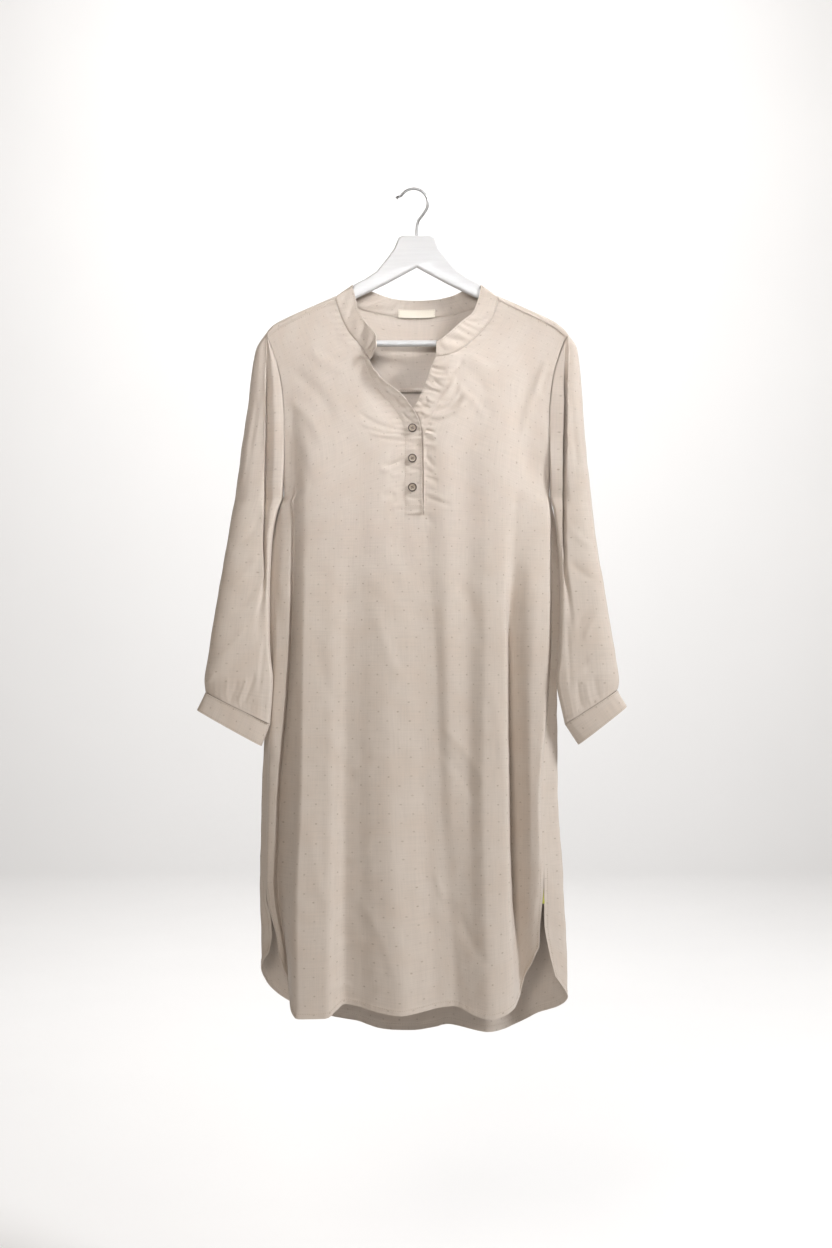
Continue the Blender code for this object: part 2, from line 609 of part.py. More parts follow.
def sleeve_top_ring(side, sign, station):
    """An open ring of the sleeve beside the armhole, from the front seam round to the back one."""
    outer, fold, outer_drop = along(range(10), SLEEVE_TOP[side], station)
    front, back = armhole(station, sign, -1), armhole(station, sign, 1)
    ring = []
    half = 8 + 8 * ease(station / 5)
    fold_depth = 3 + 10 * ease((station - 1) / 3)
    for column, (share, thick) in enumerate(SLEEVE_SECTION):
        seam = front if column < len(SLEEVE_SECTION) / 2 else back
        inner = sign * seam[0] + SLEEVE_HOLD_OFF
        across = inner + (outer - inner) * share
        side_share = abs(thick) if share > 0.5 else 1
        depth = seam[1] * (1 - ease(share * 2)) * (1 - ease((share - 0.8) * 5))
        depth += half * thick * ease(share * 2 + 0.1) if share > 0 else 0
        if column == FOLD_COLUMN:
            across = fold
            depth += fold_depth
        if column == FOLD_COLUMN - 1:
            across = inner + (fold - inner) * 0.6
            depth -= 2
        if column == FOLD_COLUMN + 1:
            across = fold + 4.5
        drop = seam[2] + (outer_drop - seam[2]) * share
        ring.append((sign * across, depth * side_share ** 0.2, drop))
    if station < 1:
        cap = [shoulder_cap_point(sign, k / (len(ring) - 1)) for k in range(len(ring))]
        ring = [mix(c, r, ease(station)) for c, r in zip(cap, ring)]
    return ring


def shoulder_cap_point(sign, t):
    """The sleeve's top edge, bent over the end of the hanger beside the yoke's end."""
    path = [(-SHOULDER_DEPTH, SEAM_BELOW[1])] + list(OVER_ARM[:0:-1])
    depth, below = along([k / (len(path) - 1) for k in range(len(path))], path, t)
    return (sign * CAP_ACROSS, depth, ridge_drop(SHOULDER_POINT) + below)


def sleeve_low_ring(sign, drop, values):
    """A closed ring of the sleeve below the underarm."""
    inner, fold, outer, middle, half, fold_depth = values
    ring = []
    for column, (share, thick) in enumerate(SLEEVE_SECTION):
        across = inner + (outer - inner) * share
        depth = middle + half * thick
        pull = ease(fold_depth / 8)
        if column == FOLD_COLUMN:
            across += (fold - across) * pull
            depth += fold_depth
        if column == FOLD_COLUMN - 1:
            across += (inner + (fold - inner) * 0.55 - across) * pull
        if column == FOLD_COLUMN + 1:
            across += (fold + 4.5 - across) * pull
        ring.append((sign * across, depth, drop))
    return ring


def make_cuff(name, side):
    sign = -1 if side == "left" else 1
    corners = CUFF[side]
    sheet = []
    for t in (0, 0.5, 1):
        inner, inner_drop = mix(corners[0], corners[2], t)
        outer, outer_drop = mix(corners[1], corners[3], t)
        row = []
        for k in range(CUFF_TURNS + 1):
            angle = 2 * pi * (k % CUFF_TURNS) / CUFF_TURNS
            share = (1 - cos(angle)) / 2
            rise = abs(sin(angle)) ** (1 - CUFF_FLATNESS)
            depth = -rise if 0 < angle < pi else rise
            row.append((sign * (inner + (outer - inner) * share), CUFF_DEPTH + depth * CUFF_HALF,
                        inner_drop + (outer_drop - inner_drop) * share))
        sheet.append(row if sign < 0 else row[::-1])
    cloth(name, sheet, wall=CUFF_WALL, outside=1)


def placket_depth(station, across):
    """Depth of the upper placket strip's face at a place across it."""
    knots = range(LEFT_NECK_STATIONS, PLACKET_STATION + 1)
    start, end = along(knots, LEFT_PLACKET_SEAM, station), along(knots, OVER_EDGE, station)
    return mix(start, end, (across - start[0]) / (end[0] - start[0]))[1]


def make_buttons():
    for number, (station, drop) in enumerate(BUTTONS, 1):
        bm = bmesh.new()
        bmesh.ops.create_cone(bm, cap_ends=True, segments=24, radius1=BUTTON_RADIUS * MM,
                              radius2=(BUTTON_RADIUS - 0.5) * MM, depth=BUTTON_THICK * MM)
        bmesh.ops.rotate(bm, verts=bm.verts, cent=(0, 0, 0), matrix=Matrix.Rotation(radians(90), 3, "X"))
        front = [f for f in bm.faces if f.normal.y < -0.9]
        bmesh.ops.inset_region(bm, faces=front, thickness=BUTTON_RIM * MM, depth=-BUTTON_DISH * MM)
        face = placket_depth(station, BUTTON_ACROSS + BUTTON_RADIUS)
        depth = face - BUTTON_SEAT - BUTTON_THICK / 2
        bmesh.ops.translate(bm, verts=bm.verts, vec=to_world((BUTTON_ACROSS, depth, drop)))
        mesh = bpy.data.meshes.new(f"button_{number}")
        bm.to_mesh(mesh)
        bm.free()
        keep_object(f"button_{number}", mesh, "button resin")


def make_labels():
    """The woven label at the back neck, and the care label's end in the right side slit."""
    inside = BAND_WALL + 2 * LABEL_GAP
    sheet = []
    for below in (LABEL_TOP, (LABEL_TOP + LABEL_FOOT) / 2, LABEL_FOOT):
        places = [neck_seam(at) for at in LABEL_PLACES]
        sheet.append([(across, depth - inside, drop + below) for across, depth, drop in places])
    cloth("neck_label", sheet, "woven label", LABEL_THICK, outside=1)

    sheet = []
    for station in TAB_STATIONS:
        edge, beside = (front_fold_point(len(FRONT_FOLDS) - k, station) for k in (1, 2))
        width = ((edge[0] - beside[0]) ** 2 + (edge[1] - beside[1]) ** 2) ** 0.5
        x, y = (edge[0] - beside[0]) / width, (edge[1] - beside[1]) / width
        inside = WALL + LABEL_GAP
        sheet.append([(edge[0] + x * reach - y * inside, edge[1] + y * reach + x * inside, edge[2])
                      for reach in (TAB_INNER, TAB_OUTER)])
    cloth("care_tab", sheet, "care tape", TAB_THICK)


def make_hanger():
    """Head and arms as one flat outline with rounded edges, the bar, and the bent wire hook."""
    curve = bpy.data.curves.new("hanger_body", "CURVE")
    curve.dimensions = "2D"
    curve.fill_mode = "BOTH"
    curve.extrude = (HANGER_THICK / 2 - HANGER_EDGE) * MM
    curve.bevel_depth = HANGER_EDGE * MM
    curve.bevel_resolution = 1
    curve.offset = -HANGER_EDGE * MM
    spline = curve.splines.new("POLY")
    outline = list(HANGER_HALF) + [(-a, d) for a, d in HANGER_HALF[-2:0:-1]]
    spline.points.add(len(outline) - 1)
    spline.use_cyclic_u = True
    for point, (across, drop) in zip(spline.points, outline):
        point.co = (across * MM, -drop * MM, 0, 1)
    body = keep_object("hanger_body", curve, "painted wood")
    body.location = (CENTRE_ACROSS * MM, 0, 0)
    body.rotation_euler = (radians(90), 0, 0)

    bm = bmesh.new()
    bmesh.ops.create_cone(bm, cap_ends=True, segments=16, radius1=BAR_RADIUS * MM,
                          radius2=BAR_RADIUS * MM, depth=2 * BAR_HALF * MM)
    mesh = bpy.data.meshes.new("trouser_bar")
    bm.to_mesh(mesh)
    bm.free()
    mesh.shade_smooth()
    bar = keep_object("trouser_bar", mesh, "painted wood")
    bar.location = (CENTRE_ACROSS * MM, 0, -BAR_DROP * MM)
    bar.rotation_euler = (0, radians(90), 0)


def make_hook():
    centre = HOOK_WIRE / 2 - CROOK_RADIUS
    points = [(x, -d) for x, d in HOOK_TIP]
    for k in range(19):
        angle = radians(150 - k * 10)
        points.append((CROOK_RADIUS * cos(angle), centre + CROOK_RADIUS * sin(angle)))
    points += [(x, -d) for x, d in HOOK_TAIL]
    curve = bpy.data.curves.new("hook", "CURVE")
    curve.dimensions = "3D"
    curve.bevel_depth = HOOK_WIRE / 2 * MM
    curve.bevel_resolution = 2
    curve.use_fill_caps = True
    spline = curve.splines.new("POLY")
    spline.points.add(len(points) - 1)
    for point, (x, z) in zip(spline.points, points):
        point.co = (x * MM, 0, z * MM, 1)
    spline.points[0].radius = 1.3
    keep_object("hook", curve, "zinc wire")


def main():
    for old in list(bpy.data.objects):
        bpy.data.objects.remove(old)
    bpy.context.scene.collection.children.link(bpy.data.collections.new("midi_dress"))
    make_front()
    make_yoke()
    make_back()
    make_band()
    make_placket("placket_over", LEFT_PLACKET_SEAM, OVER_EDGE, LEFT_NECK_STATIONS, -1)
    make_placket("placket_under", RIGHT_PLACKET_SEAM, UNDER_EDGE, RIGHT_NECK_STATIONS, 1)
    for side in ("left", "right"):
        make_sleeve(f"sleeve_{side}", side)
        make_cuff(f"cuff_{side}", side)
    make_buttons()
    make_labels()
    make_hanger()
    make_hook()


main()
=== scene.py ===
"""Looks of the midi dress on its hanger: cloth with its folds, weave, stitches and small parts.

Lengths in the tables are millimetres. Across is measured from the garment's centre line, positive
to the viewer's right. Depth is negative towards the viewer. Drop is measured down from the origin,
which is the inner top of the hook's crook.
"""

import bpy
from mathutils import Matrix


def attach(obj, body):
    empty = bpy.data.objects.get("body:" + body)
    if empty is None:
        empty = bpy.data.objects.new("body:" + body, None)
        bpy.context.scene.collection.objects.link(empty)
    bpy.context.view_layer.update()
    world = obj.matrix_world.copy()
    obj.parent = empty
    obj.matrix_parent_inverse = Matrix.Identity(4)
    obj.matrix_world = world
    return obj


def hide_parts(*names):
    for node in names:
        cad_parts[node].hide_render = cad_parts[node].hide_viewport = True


bl_info = {
    "name": "Midi dress on a hanger",
    "version": (1, 0, 0),
    "blender": (4, 5, 0),
    "location": "3D View > Sidebar > Dress",
    "description": "Builds the cloth, buttons, labels, hanger and studio of a hanging midi dress",
    "category": "Object",
}

from math import cos, pi, radians, sin

import bmesh
import bpy
import numpy as np
from bpy.props import FloatProperty, FloatVectorProperty, PointerProperty
from bpy.types import Operator, Panel, PropertyGroup
from mathutils import Matrix, Vector

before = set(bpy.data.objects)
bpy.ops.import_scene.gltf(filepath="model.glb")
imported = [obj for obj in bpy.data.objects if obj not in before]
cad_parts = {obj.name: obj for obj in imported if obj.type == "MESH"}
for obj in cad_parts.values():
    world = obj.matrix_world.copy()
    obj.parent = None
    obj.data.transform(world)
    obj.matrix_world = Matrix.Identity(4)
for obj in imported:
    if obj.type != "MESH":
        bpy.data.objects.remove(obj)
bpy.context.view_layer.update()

MM = 0.001
CENTRE_ACROSS = 4.4
# Stations count the rows of a panel from the shoulder seam down to the hem.
YOKE_STATION, UNDERARM_STATION, PLACKET_STATION, SLIT_STATION, HEM_STATION = 3, 9, 10, 13, 14
ROWS_PER_STATION, LOWER_ROWS_PER_STATION = 2, 4
# Drops of the levels at the placket's foot, the waist, the hip and the top of the slits.
LEVEL_DROPS = {10: 474, 11: 643, 12: 869, 13: 974}
LOW_STATIONS = (UNDERARM_STATION,) + tuple(LEVEL_DROPS)
SLIT_TILT = 0.05
# Drop of the placket's foot, and how far its level falls between two distances from the centre line.
PLACKET_FOOT, PLACKET_FALL = 466, 8
FALL_FROM, FALL_TO = 17, 192
EDGE_GAP, SIDE_GAP, BAND_GAP = 0.02, 0.05, 0.22
CAD_WALL, CAD_BAND_WALL = 1.5, 1.7

# Shoulder ridge over the hanger: distance from the centre line, drop.
RIDGE = ((80, 136), (100, 146), (115, 152.5), (155, 170), (190, 186), (204, 194), (213, 203))
SHOULDER_DEPTH = 8.0
NECK_POINT, SHOULDER_POINT = 113, 212
SEAM_BELOW = (6, 9)
# The rows bend to the shoulder seam and the chest begins to swell over this many stations. Below the
# placket's foot the swell dies out again.
SHOULDER_STATIONS = 4
CHEST_SWELL, SWELL_END = 3.5, 0.8

# Armhole of the front, station by station: distance from the centre line, depth, drop.
ARMHOLE = (
    (212, -8.0, 212), (206, -9.5, 228), (198, -12, 252), (192, -13, 280), (189, -13.5, 306),
    (188, -13.5, 332), (188, -12.5, 358), (188, -10.5, 384), (189, -7, 412), (190, -0.6, 440),
)
BACK_DEPTH_SCALE = 1.05

# Neck seam and top edge of the band, from its left front end round the back to its right one:
# seam across, depth, drop, then top edge across, depth, drop.
NECK = (
    (-67, -28, 247, -57, -44, 232),
    (-80, -22, 227, -58, -33, 214),
    (-98, -15, 204, -72, -22, 194),
    (-109, -10, 180, -83, -13, 175),
    (-116.4, -8.2, 158.5, -88, -9, 152),
    (-116.1, -6.8, 155.2, -91.5, -8, 140),
    (-115.5, 0, 152.5, -92, 0, 135.5),
    (-113, 7.6, 155.5, -90, 8, 136.5),
    (-102, 12, 159.5, -81, 11.5, 138),
    (-84.5, 16, 166, -63, 15, 143),
    (-64.5, 18, 171, -44, 17, 150),
    (-27, 20, 178, -23, 19, 154),
    (0, 20.5, 179, 0, 19.5, 155),
    (27, 20, 178, 23, 19, 154),
    (64.5, 18, 172, 46, 17, 150),
    (84.5, 16, 167, 65, 15, 143),
    (102, 12, 159.5, 82, 11.5, 138),
    (113, 7.6, 155.5, 90, 8, 136.5),
    (115.5, 0, 152.5, 92, 0, 135.5),
    (116.1, -6.8, 155.2, 91.5, -8, 140),
    (116.4, -8.2, 158.5, 89, -9, 152),
    (108, -11, 184, 80, -14, 177),
    (91, -15, 206, 67, -22, 189),
    (67, -22, 228, 50, -30, 205),
    (46, -27, 240, 38, -34, 216),
    (27, -29, 243, 28, -36, 223),
)
NECK_LEFT_END, NECK_LEFT_CORNER = 0, 4
NECK_RIGHT_CORNER, NECK_RIGHT_END = 20, 25
NECK_BACK_FIRST, NECK_BACK_LAST = 8, 16
LEFT_NECK_STATIONS, RIGHT_NECK_STATIONS = 3, 4

# Where each front half meets its placket strip, from the neck down: across, depth, drop.
LEFT_PLACKET_SEAM = (
    (-80, -22, 227), (-73, -25, 250), (-62, -27, 276), (-45, -28.5, 300),
    (-29, -29.5, 321), (-19, -30, 341), (-17, -30, 362), (-17, -30, 466),
)
RIGHT_PLACKET_SEAM = (
    (46, -27, 240), (45, -28.5, 266), (38, -29.5, 290), (27, -30, 315),
    (16, -30, 339), (10.5, -30, 362), (10.5, -30, 466),
)
# Free edges of the two strips at the same stations.
OVER_EDGE = (
    (-67, -28, 247), (-60, -37, 264), (-40.5, -38, 282), (-23.5, -38, 295),
    (-9.5, -37, 312), (1, -35, 329), (6, -33, 350), (8.3, -32, 466),
)
UNDER_EDGE = (
    (27, -29, 243), (19, -27.5, 261), (13, -27, 279), (2, -26.5, 304),
    (-11, -26, 330), (-13.5, -25.5, 356), (-13.5, -25.5, 466),
)

# Lengthwise folds of the front, left to right: name, grid columns to the next one, then across and
# depth at the placket foot, waist, hip and slit top, then across, depth and drop at the hem.
FRONT_FOLDS = (
    ("left seam", 1, (-193, -4), (-203, -11), (-213, -15), (-214.5, -15), (-196, -13, 1091)),
    ("left strip", 1, (-190.5, -14), (-200.5, -21), (-210.5, -23), (-212, -20), (-192, -13, 1104)),
    ("left strip edge", 1, (-179, -16), (-182, -25), (-199.5, -26), (-203, -21), (-188, -11, 1115)),
    ("left trough", 2, (-175, -10), (-179, -10), (-196, -7), (-199, -5), (-184, -5, 1126)),
    ("left trough rise", 2, (-166, -21), (-168, -29), (-171, -35), (-177, -35), (-179, -33, 1157)),
    ("left ridge", 1, (-156, -26), (-158, -36), (-161, -43), (-167, -46), (-166, -50, 1174)),
    ("left ridge edge", 2, (-125, -27), (-125, -36), (-126, -43), (-127, -47), (-128, -51, 1173)),
    ("left valley", 3, (-94, -27), (-98, -32), (-100, -35), (-101, -36), (-101, -34, 1156)),
    ("middle ridge", 2, (-45, -30), (-43, -37), (-39, -46), (-35, -50), (-23, -54, 1169)),
    ("centre valley left", 1, (-17, -30), (4, -33), (14, -37), (20, -38), (31, -40, 1160)),
    ("centre valley right", 1, (10.5, -30), (24, -32), (32, -36), (40, -37), (52, -39, 1158)),
    ("small ridge", 1, (41, -31), (43, -36), (50, -39), (56, -39), (66, -43, 1162)),
    ("small valley", 1, (72, -27), (72, -32), (72, -38), (75, -42), (80, -48, 1169)),
    ("right ridge", 2, (98, -29), (98, -38), (95, -46), (97, -50), (102, -54, 1174)),
    ("right ridge edge", 1, (122, -26.5), (126, -34), (128, -41), (130, -43), (136, -41, 1162)),
    ("right trough", 2, (141, -20), (131, -11), (134, -7), (136, -6), (147, -12, 1148)),
    ("right strip edge", 1, (161, -18), (162, -28), (161, -32), (161, -29), (153, -13, 1123)),
    ("right strip", 1, (189.5, -13), (187, -24), (171, -33), (172, -31), (162, -20, 1104)),
    ("right seam", 0, (192, -4), (191, -14), (176, -28), (180, -27), (173, -25, 1079)),
)
LEFT_SLOT_FOLD, RIGHT_SLOT_FOLD = 9, 10
# The strips beside the armholes lie flat for longer than the other folds. Both start at a station.
STRIP_FOLDS = (1, 2, len(FRONT_FOLDS) - 3, len(FRONT_FOLDS) - 2)
STRIPS_FROM, FOLDS_FROM = 7.5, 3.5
# From this station on the cloth leaves the armhole and runs straight down past the underarm.
STRAIGHT_FROM = 6
# The left side stands a little wider below the underarm than its solid, close to the sleeve.
LEFT_WIDER, LEFT_WIDER_STATIONS = 6.5, 2.1
# Folds between which the cloth beside the placket is most creased.
FINE_FROM, FINE_TO = 7, 13

# Lengthwise folds of the back, with the centre pleat: across and depth at the yoke seam come first.
# The seams' own lines above the slits are the front's.
BACK_FOLDS = (
    ("left seam", 1,
     (-192, 13.5), (-193, -4), (-203, -11), (-213, -15), (-214.5, -15), (-211, -11, 1088)),
    ("left wrap", 1, (-188, 14), (-197, 2), (-208, -3), (-222, 1), (-224, 3), (-222, 4, 1113)),
    ("left back fold", 2,
     (-181, 15), (-186, 13), (-200, 15), (-213, 19), (-214, 24), (-214, 24, 1140)),
    ("left back ridge", 2,
     (-160, 17), (-160, 20), (-172, 26), (-180, 30), (-182, 33), (-184, 34, 1167)),
    ("left hollow", 2, (-122, 18), (-122, 18), (-126, 18), (-130, 18), (-130, 19), (-127, 21, 1185)),
    ("left middle ridge", 2, (-80, 19), (-80, 24), (-84, 27), (-86, 30), (-86, 33), (-85, 34, 1196)),
    ("pleat left side", 1, (-26, 19.5), (-30, 21), (-40, 22), (-52, 22), (-56, 22), (-54, 24, 1204)),
    ("pleat left edge", 1, (-23, 25), (-25, 27), (-28, 27), (-32, 25), (-36, 23), (-36, 22, 1206)),
    ("pleat middle", 1, (-3, 25.5), (-3, 28), (-3, 28), (-5, 27), (-6, 26), (-6, 24, 1207)),
    ("pleat right edge", 1, (17, 25), (19, 27), (22, 27), (26, 28), (30, 30), (26, 31, 1204)),
    ("pleat right side", 1, (20, 19.5), (24, 21), (34, 25), (42, 30), (46, 34), (46, 36, 1201)),
    ("right middle hollow", 2, (60, 19), (62, 22), (72, 20), (84, 19), (92, 19), (102, 20, 1209)),
    ("right middle ridge", 2, (122, 18), (122, 23), (130, 27), (140, 30), (143, 33), (143, 33, 1200)),
    ("right back ridge", 2, (160, 17), (160, 20), (166, 24), (174, 26), (178, 27), (176, 27, 1182)),
    ("right back fold", 1, (181, 15), (184, 13), (190, 14), (196, 16), (202, 17), (205, 16, 1170)),
    ("right wrap", 1, (188, 14), (197, 2), (199, -8), (201, -10), (208, -6), (216, 1, 1154)),
    ("right seam", 0, (192, 13.5), (192, -4), (191, -14), (176, -28), (180, -27), (197, -15, 1121)),
)

# The back's folds leave the armhole from this station on.
WRAPS_FROM = 8
# The edges of the side slits hang close together and part only near the hem. The back's left edge
# parts from the front's between two stations.
FRONT_LEFT_LATE, BACK_RIGHT_LATE, SLIT_GAP = 1.2, 5, 1.6
SLIT_PARTS = (13.5, 14)

# Sleeves, station by station down to the underarm and then by drop: the drop at the outer edge, the
# outer edge, and the fold in front of the armhole, as distances from the centre line.
SLEEVE_TOP = {
    "left": ((213, 213, 203), (229, 213, 226), (236, 214, 262), (239, 214.5, 290), (242, 215, 316),
             (246, 215, 342), (250, 215.5, 368), (253.5, 216, 394), (257, 216.5, 418), (261, 217, 444)),
    "right": ((213, 213, 203), (229, 211, 226), (234, 210.5, 262), (236, 210, 290), (238, 210, 316),
              (240, 209.5, 342), (242, 209, 368), (244, 208.5, 394), (247, 208, 418), (250, 208, 444)),
}
# Drop, inner edge, fold, outer edge, middle depth, half thickness, fold depth.
SLEEVE_LOW = {
    "left": ((501, 205.5, 218, 270, -7, 15, 12), (572, 208.5, 215, 281, -15, 15, 5),
             (643, 208, 216, 292, -23, 15, 1), (700, 203, 216, 300, -28, 14, 0)),
    "right": ((501, 200, 208, 256, -7, 15, 11), (572, 203.5, 209, 267, -15, 15, 4),
              (643, 202, 210, 278, -23, 15, 1), (700, 197, 210, 286, -28, 14, 0)),
}
# Cuffs: inner and outer corner of the top edge and of the lower edge, as across and drop.
CUFF = {
    "left": ((207, 762), (298.5, 717), (219, 793), (310.5, 742)),
    "right": ((209, 762), (283.5, 714), (228, 791), (297, 737)),
}
CUFF_DEPTH, CUFF_HALF = -28, 13.5
CUFF_TURNS, CUFF_FLATNESS = 24, 0.35
SLEEVE_DROPS = (458, 478, 501, 525, 548, 572, 608, 643, 672, 700)
SLEEVE_END_HALF, SLEEVE_END_ABOVE_CUFF = 12.9, 0.9
SLEEVE_HOLD_OFF = 0.8
CAP_ACROSS = 213.2
# Around a sleeve from the front seam or inner edge over the front and back again: share of the
# width from the inner edge to the outer edge, share of the half thickness.
SLEEVE_SECTION = (
    (0.0, 0.0), (0.03, -0.74), (0.09, -0.86), (0.2, -1.0), (0.33, -1.0), (0.5, -1.02),
    (0.68, -0.98), (0.84, -0.8), (0.96, -0.42), (1.0, 0.0), (0.95, 0.45), (0.82, 0.82),
    (0.62, 1.0), (0.4, 1.02), (0.2, 0.92), (0.08, 0.62), (0.0, 0.0),
)
FOLD_COLUMN = 3

# Each button's station on the placket, its drop, and its turn in degrees.
BUTTONS = ((8.5, 344, 24), (9.27, 386.5, -8), (9.65, 427.5, 12))
BUTTON_ACROSS = -6
BUTTON_RADIUS, BUTTON_SEAT = 6.2, 0.3
LABEL_PLACES = (11.02, 11.5, 12, 12.5, 12.98)
LABEL_TOP, LABEL_FOOT, LABEL_GAP = -10.5, 1, 0.35
TAB_STATIONS = (13.26, 13.35, 13.45)
TAB_INNER, TAB_OUTER = -5, 3.4

# Widths of the turned-up hems, how much thicker they are, and over what width that ends.
HEM_FRONT, HEM_BACK, HEM_RISE, HEM_END = 7, 9, 0.7, 2.4
# How far the rows of stitches lie from the slits' edges, and from the seams at the shoulder and yoke.
SLIT_STITCHES, SHOULDER_STITCHES, YOKE_STITCHES = 6, 2, 2.2

HANGER_THICK, HANGER_EDGE = 11.0, 3.0
# Right half of the hanger's outline, clockwise from the top: across, drop.
HANGER_HALF = (
    (0, 65.8), (20, 65.8), (26, 69), (28.6, 75.8), (32, 84), (41, 96.7), (57.5, 117.3), (74, 128),
    (87, 134.5), (90, 136.5), (91, 141), (100, 151), (108, 156), (114, 158.5), (122, 160.5),
    (155, 173.2), (190, 189.2), (200, 195.5), (206, 202), (208.5, 210), (208, 219), (204, 225),
    (198, 226), (196.5, 223), (196, 214), (190, 210.5), (155, 195), (115, 177), (88.3, 156),
    (44, 134.5), (0, 110.8),
)
BAR_RADIUS, BAR_DROP, BAR_HALF, BAR_ROUND = 4.5, 219.5, 195.7, 0.8
HOOK_WIRE, CROOK_RADIUS, CROOK_DEGREES = 3.6, 20.4, range(150, -31, -5)
# The wire is a little thicker at its tip.
TIP_SWELL = 1.3
HOOK_TIP = ((-24.6, 11.8), (-22.4, 9.9))
HOOK_TAIL = ((12.6, 36.4), (7.2, 43.2), (5.0, 50.0), (4.4, 57.5), (4.4, 65.5))

# Creases drawn into the cloth: across and drop of both ends, how far the middle bows down
# or outwards, half width, and height (positive is a ridge).
FRONT_CREASES = (
    # Arcs and tucks pulled by the buttons, left of the placket.
    (-82, 322, -27, 346, 4, 3.0, -0.95), (-80, 336, -20, 349, 5, 2.4, 0.95),
    (-70, 343, -18, 351, 4, 2.2, -1.0), (-66, 351, -19, 355, 2, 2.4, 1.12),
    (-52, 358, -19, 360, 1, 2.2, -0.96), (-48, 398, -18, 387, 2, 2.6, -2.08),
    (-52, 404, -18, 394, 2, 2.8, 1.6), (-40, 402, -18, 398, 1, 2.2, -1.44),
    (-36, 412, -18, 410, 0, 2.4, 0.96), (-50, 440, -30, 437, 0, 5, -1.28),
    (-34, 430, -18, 424, 0, 2, -0.96), (-36, 458, -18, 450, 0, 2.4, 0.8),
    # Tucks of the right side, beside the overlap's edge.
    (11, 346, 25, 350, 0, 1.8, -2.08), (11, 351, 27, 355, 0, 2.0, 1.44),
    (11, 357, 23, 361, 0, 1.8, -1.6), (11, 366, 26, 366, 1, 2.0, 1.12),
    (11, 379, 25, 372, 0, 2.0, -1.28), (12, 383, 24, 397, 0, 2.2, -1.92),
    (12, 392, 26, 405, 0, 2.2, 1.28), (12, 402, 23, 409, 0, 1.8, -1.6),
    (11, 412, 29, 418, 0, 2.0, -1.92), (11, 421, 27, 428, 0, 2.2, 1.12),
    (14, 441, 48, 454, 0, 3.0, -1.12), (12, 434, 40, 446, 0, 2.6, 0.96),
    (12, 466, 24, 480, 0, 2.6, -0.96),
    # Crinkles below the right front end of the band.
    (21, 321, 65, 296, 6, 3.4, -2.72), (19, 329, 70, 305, 6, 3.4, 2.24),
    (34, 300, 54, 272, 3, 2.6, 1.6), (30, 310, 60, 284, 4, 2.6, -1.76),
    (46, 268, 66, 246, 2, 2.6, -1.44), (22, 336, 56, 322, 3, 2.6, -1.28),
    (54, 284, 99, 333, -4, 6.0, 0.9), (62, 250, 100, 300, -5, 8.0, -0.8),
    (74, 236, 112, 262, 4, 6, 0.7),
    # Soft pulls from the shoulders and armholes.
    (-176, 262, -120, 330, -8, 9, -1.1), (-184, 300, -132, 372, -8, 8, 1.0),
    (-186, 350, -150, 430, -6, 7, -1.0), (168, 262, 140, 352, 6, 8, -1.4),
    (180, 262, 152, 356, 6, 6, 1.2), (186, 246, 170, 300, 3, 5, 1.6), (187, 262, 176, 296, 2, 4, -2.2),
    (150, 384, 128, 470, 4, 8, 1.0), (-150, 232, -96, 262, 6, 8, 0.9),
    # Long low slants below the waist.
    (32, 762, 97, 848, -5, 7, 1.0), (24, 790, 84, 872, -6, 8, -0.9), (-91, 833, -54, 808, 3, 6, 0.9),
    (-100, 953, -62, 937, 3, 5, 0.9), (-116, 1073, -72, 1062, 3, 5, 1.0),
    (27, 967, 38, 1010, 2, 5, 0.8), (-120, 1136, -92, 1128, -3, 4, 0.8),
    (-60, 590, -20, 700, 6, 9, 0.8), (60, 560, 92, 660, -5, 8, -0.8),
    (-140, 640, -112, 740, 5, 9, -0.9), (104, 700, 120, 830, -3, 7, 0.8),
    (-80, 1010, -30, 1120, -6, 8, 0.8), (60, 1030, 110, 1110, 5, 8, -0.8),
    (-150, 900, -128, 1020, 3, 7, 0.8), (-200, 560, -190, 660, 0, 4, -1.2),
    (-206, 700, -200, 820, 0, 3.4, 1.0), (170, 560, 165, 700, 0, 5, 1.0),
)
# Crinkles of the two placket strips, by the side that they are on.
STRIP_CREASES = {
    -1: (
        (-62, 252, -50, 282, 2, 2.2, -1.54), (-56, 250, -42, 276, 2, 2.0, 1.26),
        (-44, 286, -28, 300, 2, 2.2, 1.12), (-34, 296, -16, 318, 3, 2.6, -1.68),
        (-20, 322, -4, 336, 2, 2.0, -1.12), (-16, 352, 4, 350, 1, 2.2, 1.12),
        (-16, 362, 4, 366, 1, 2.0, -1.12), (-16, 376, -2, 372, 0, 1.8, 0.98),
        (-16, 398, 4, 402, 1, 2.2, -1.12), (-16, 408, 5, 406, 0, 2.0, 0.98),
        (-16, 440, 4, 444, 1, 2.2, -1.12), (-14, 452, 4, 450, 0, 2.0, 0.84),
    ),
    1: (
        (20, 256, 44, 262, 2, 2.2, -1.68), (16, 266, 46, 272, 3, 2.4, 1.68),
        (24, 276, 44, 286, 2, 2.2, -2.24), (12, 278, 34, 290, 3, 2.2, 1.4),
        (8, 290, 36, 296, -3, 2.2, -2.1), (14, 300, 32, 306, 3, 2.4, 1.82),
        (2, 304, 20, 316, 2, 2.2, -1.54), (18, 310, 34, 300, 2, 2.0, -1.96),
        (6, 320, 26, 322, 3, 2.4, 1.96), (8, 332, 22, 330, -2, 2.0, -1.68),
        (0, 338, 12, 344, 1, 2.0, 1.4), (2, 352, 12, 356, 0, 2.0, -1.4),
    ),
}
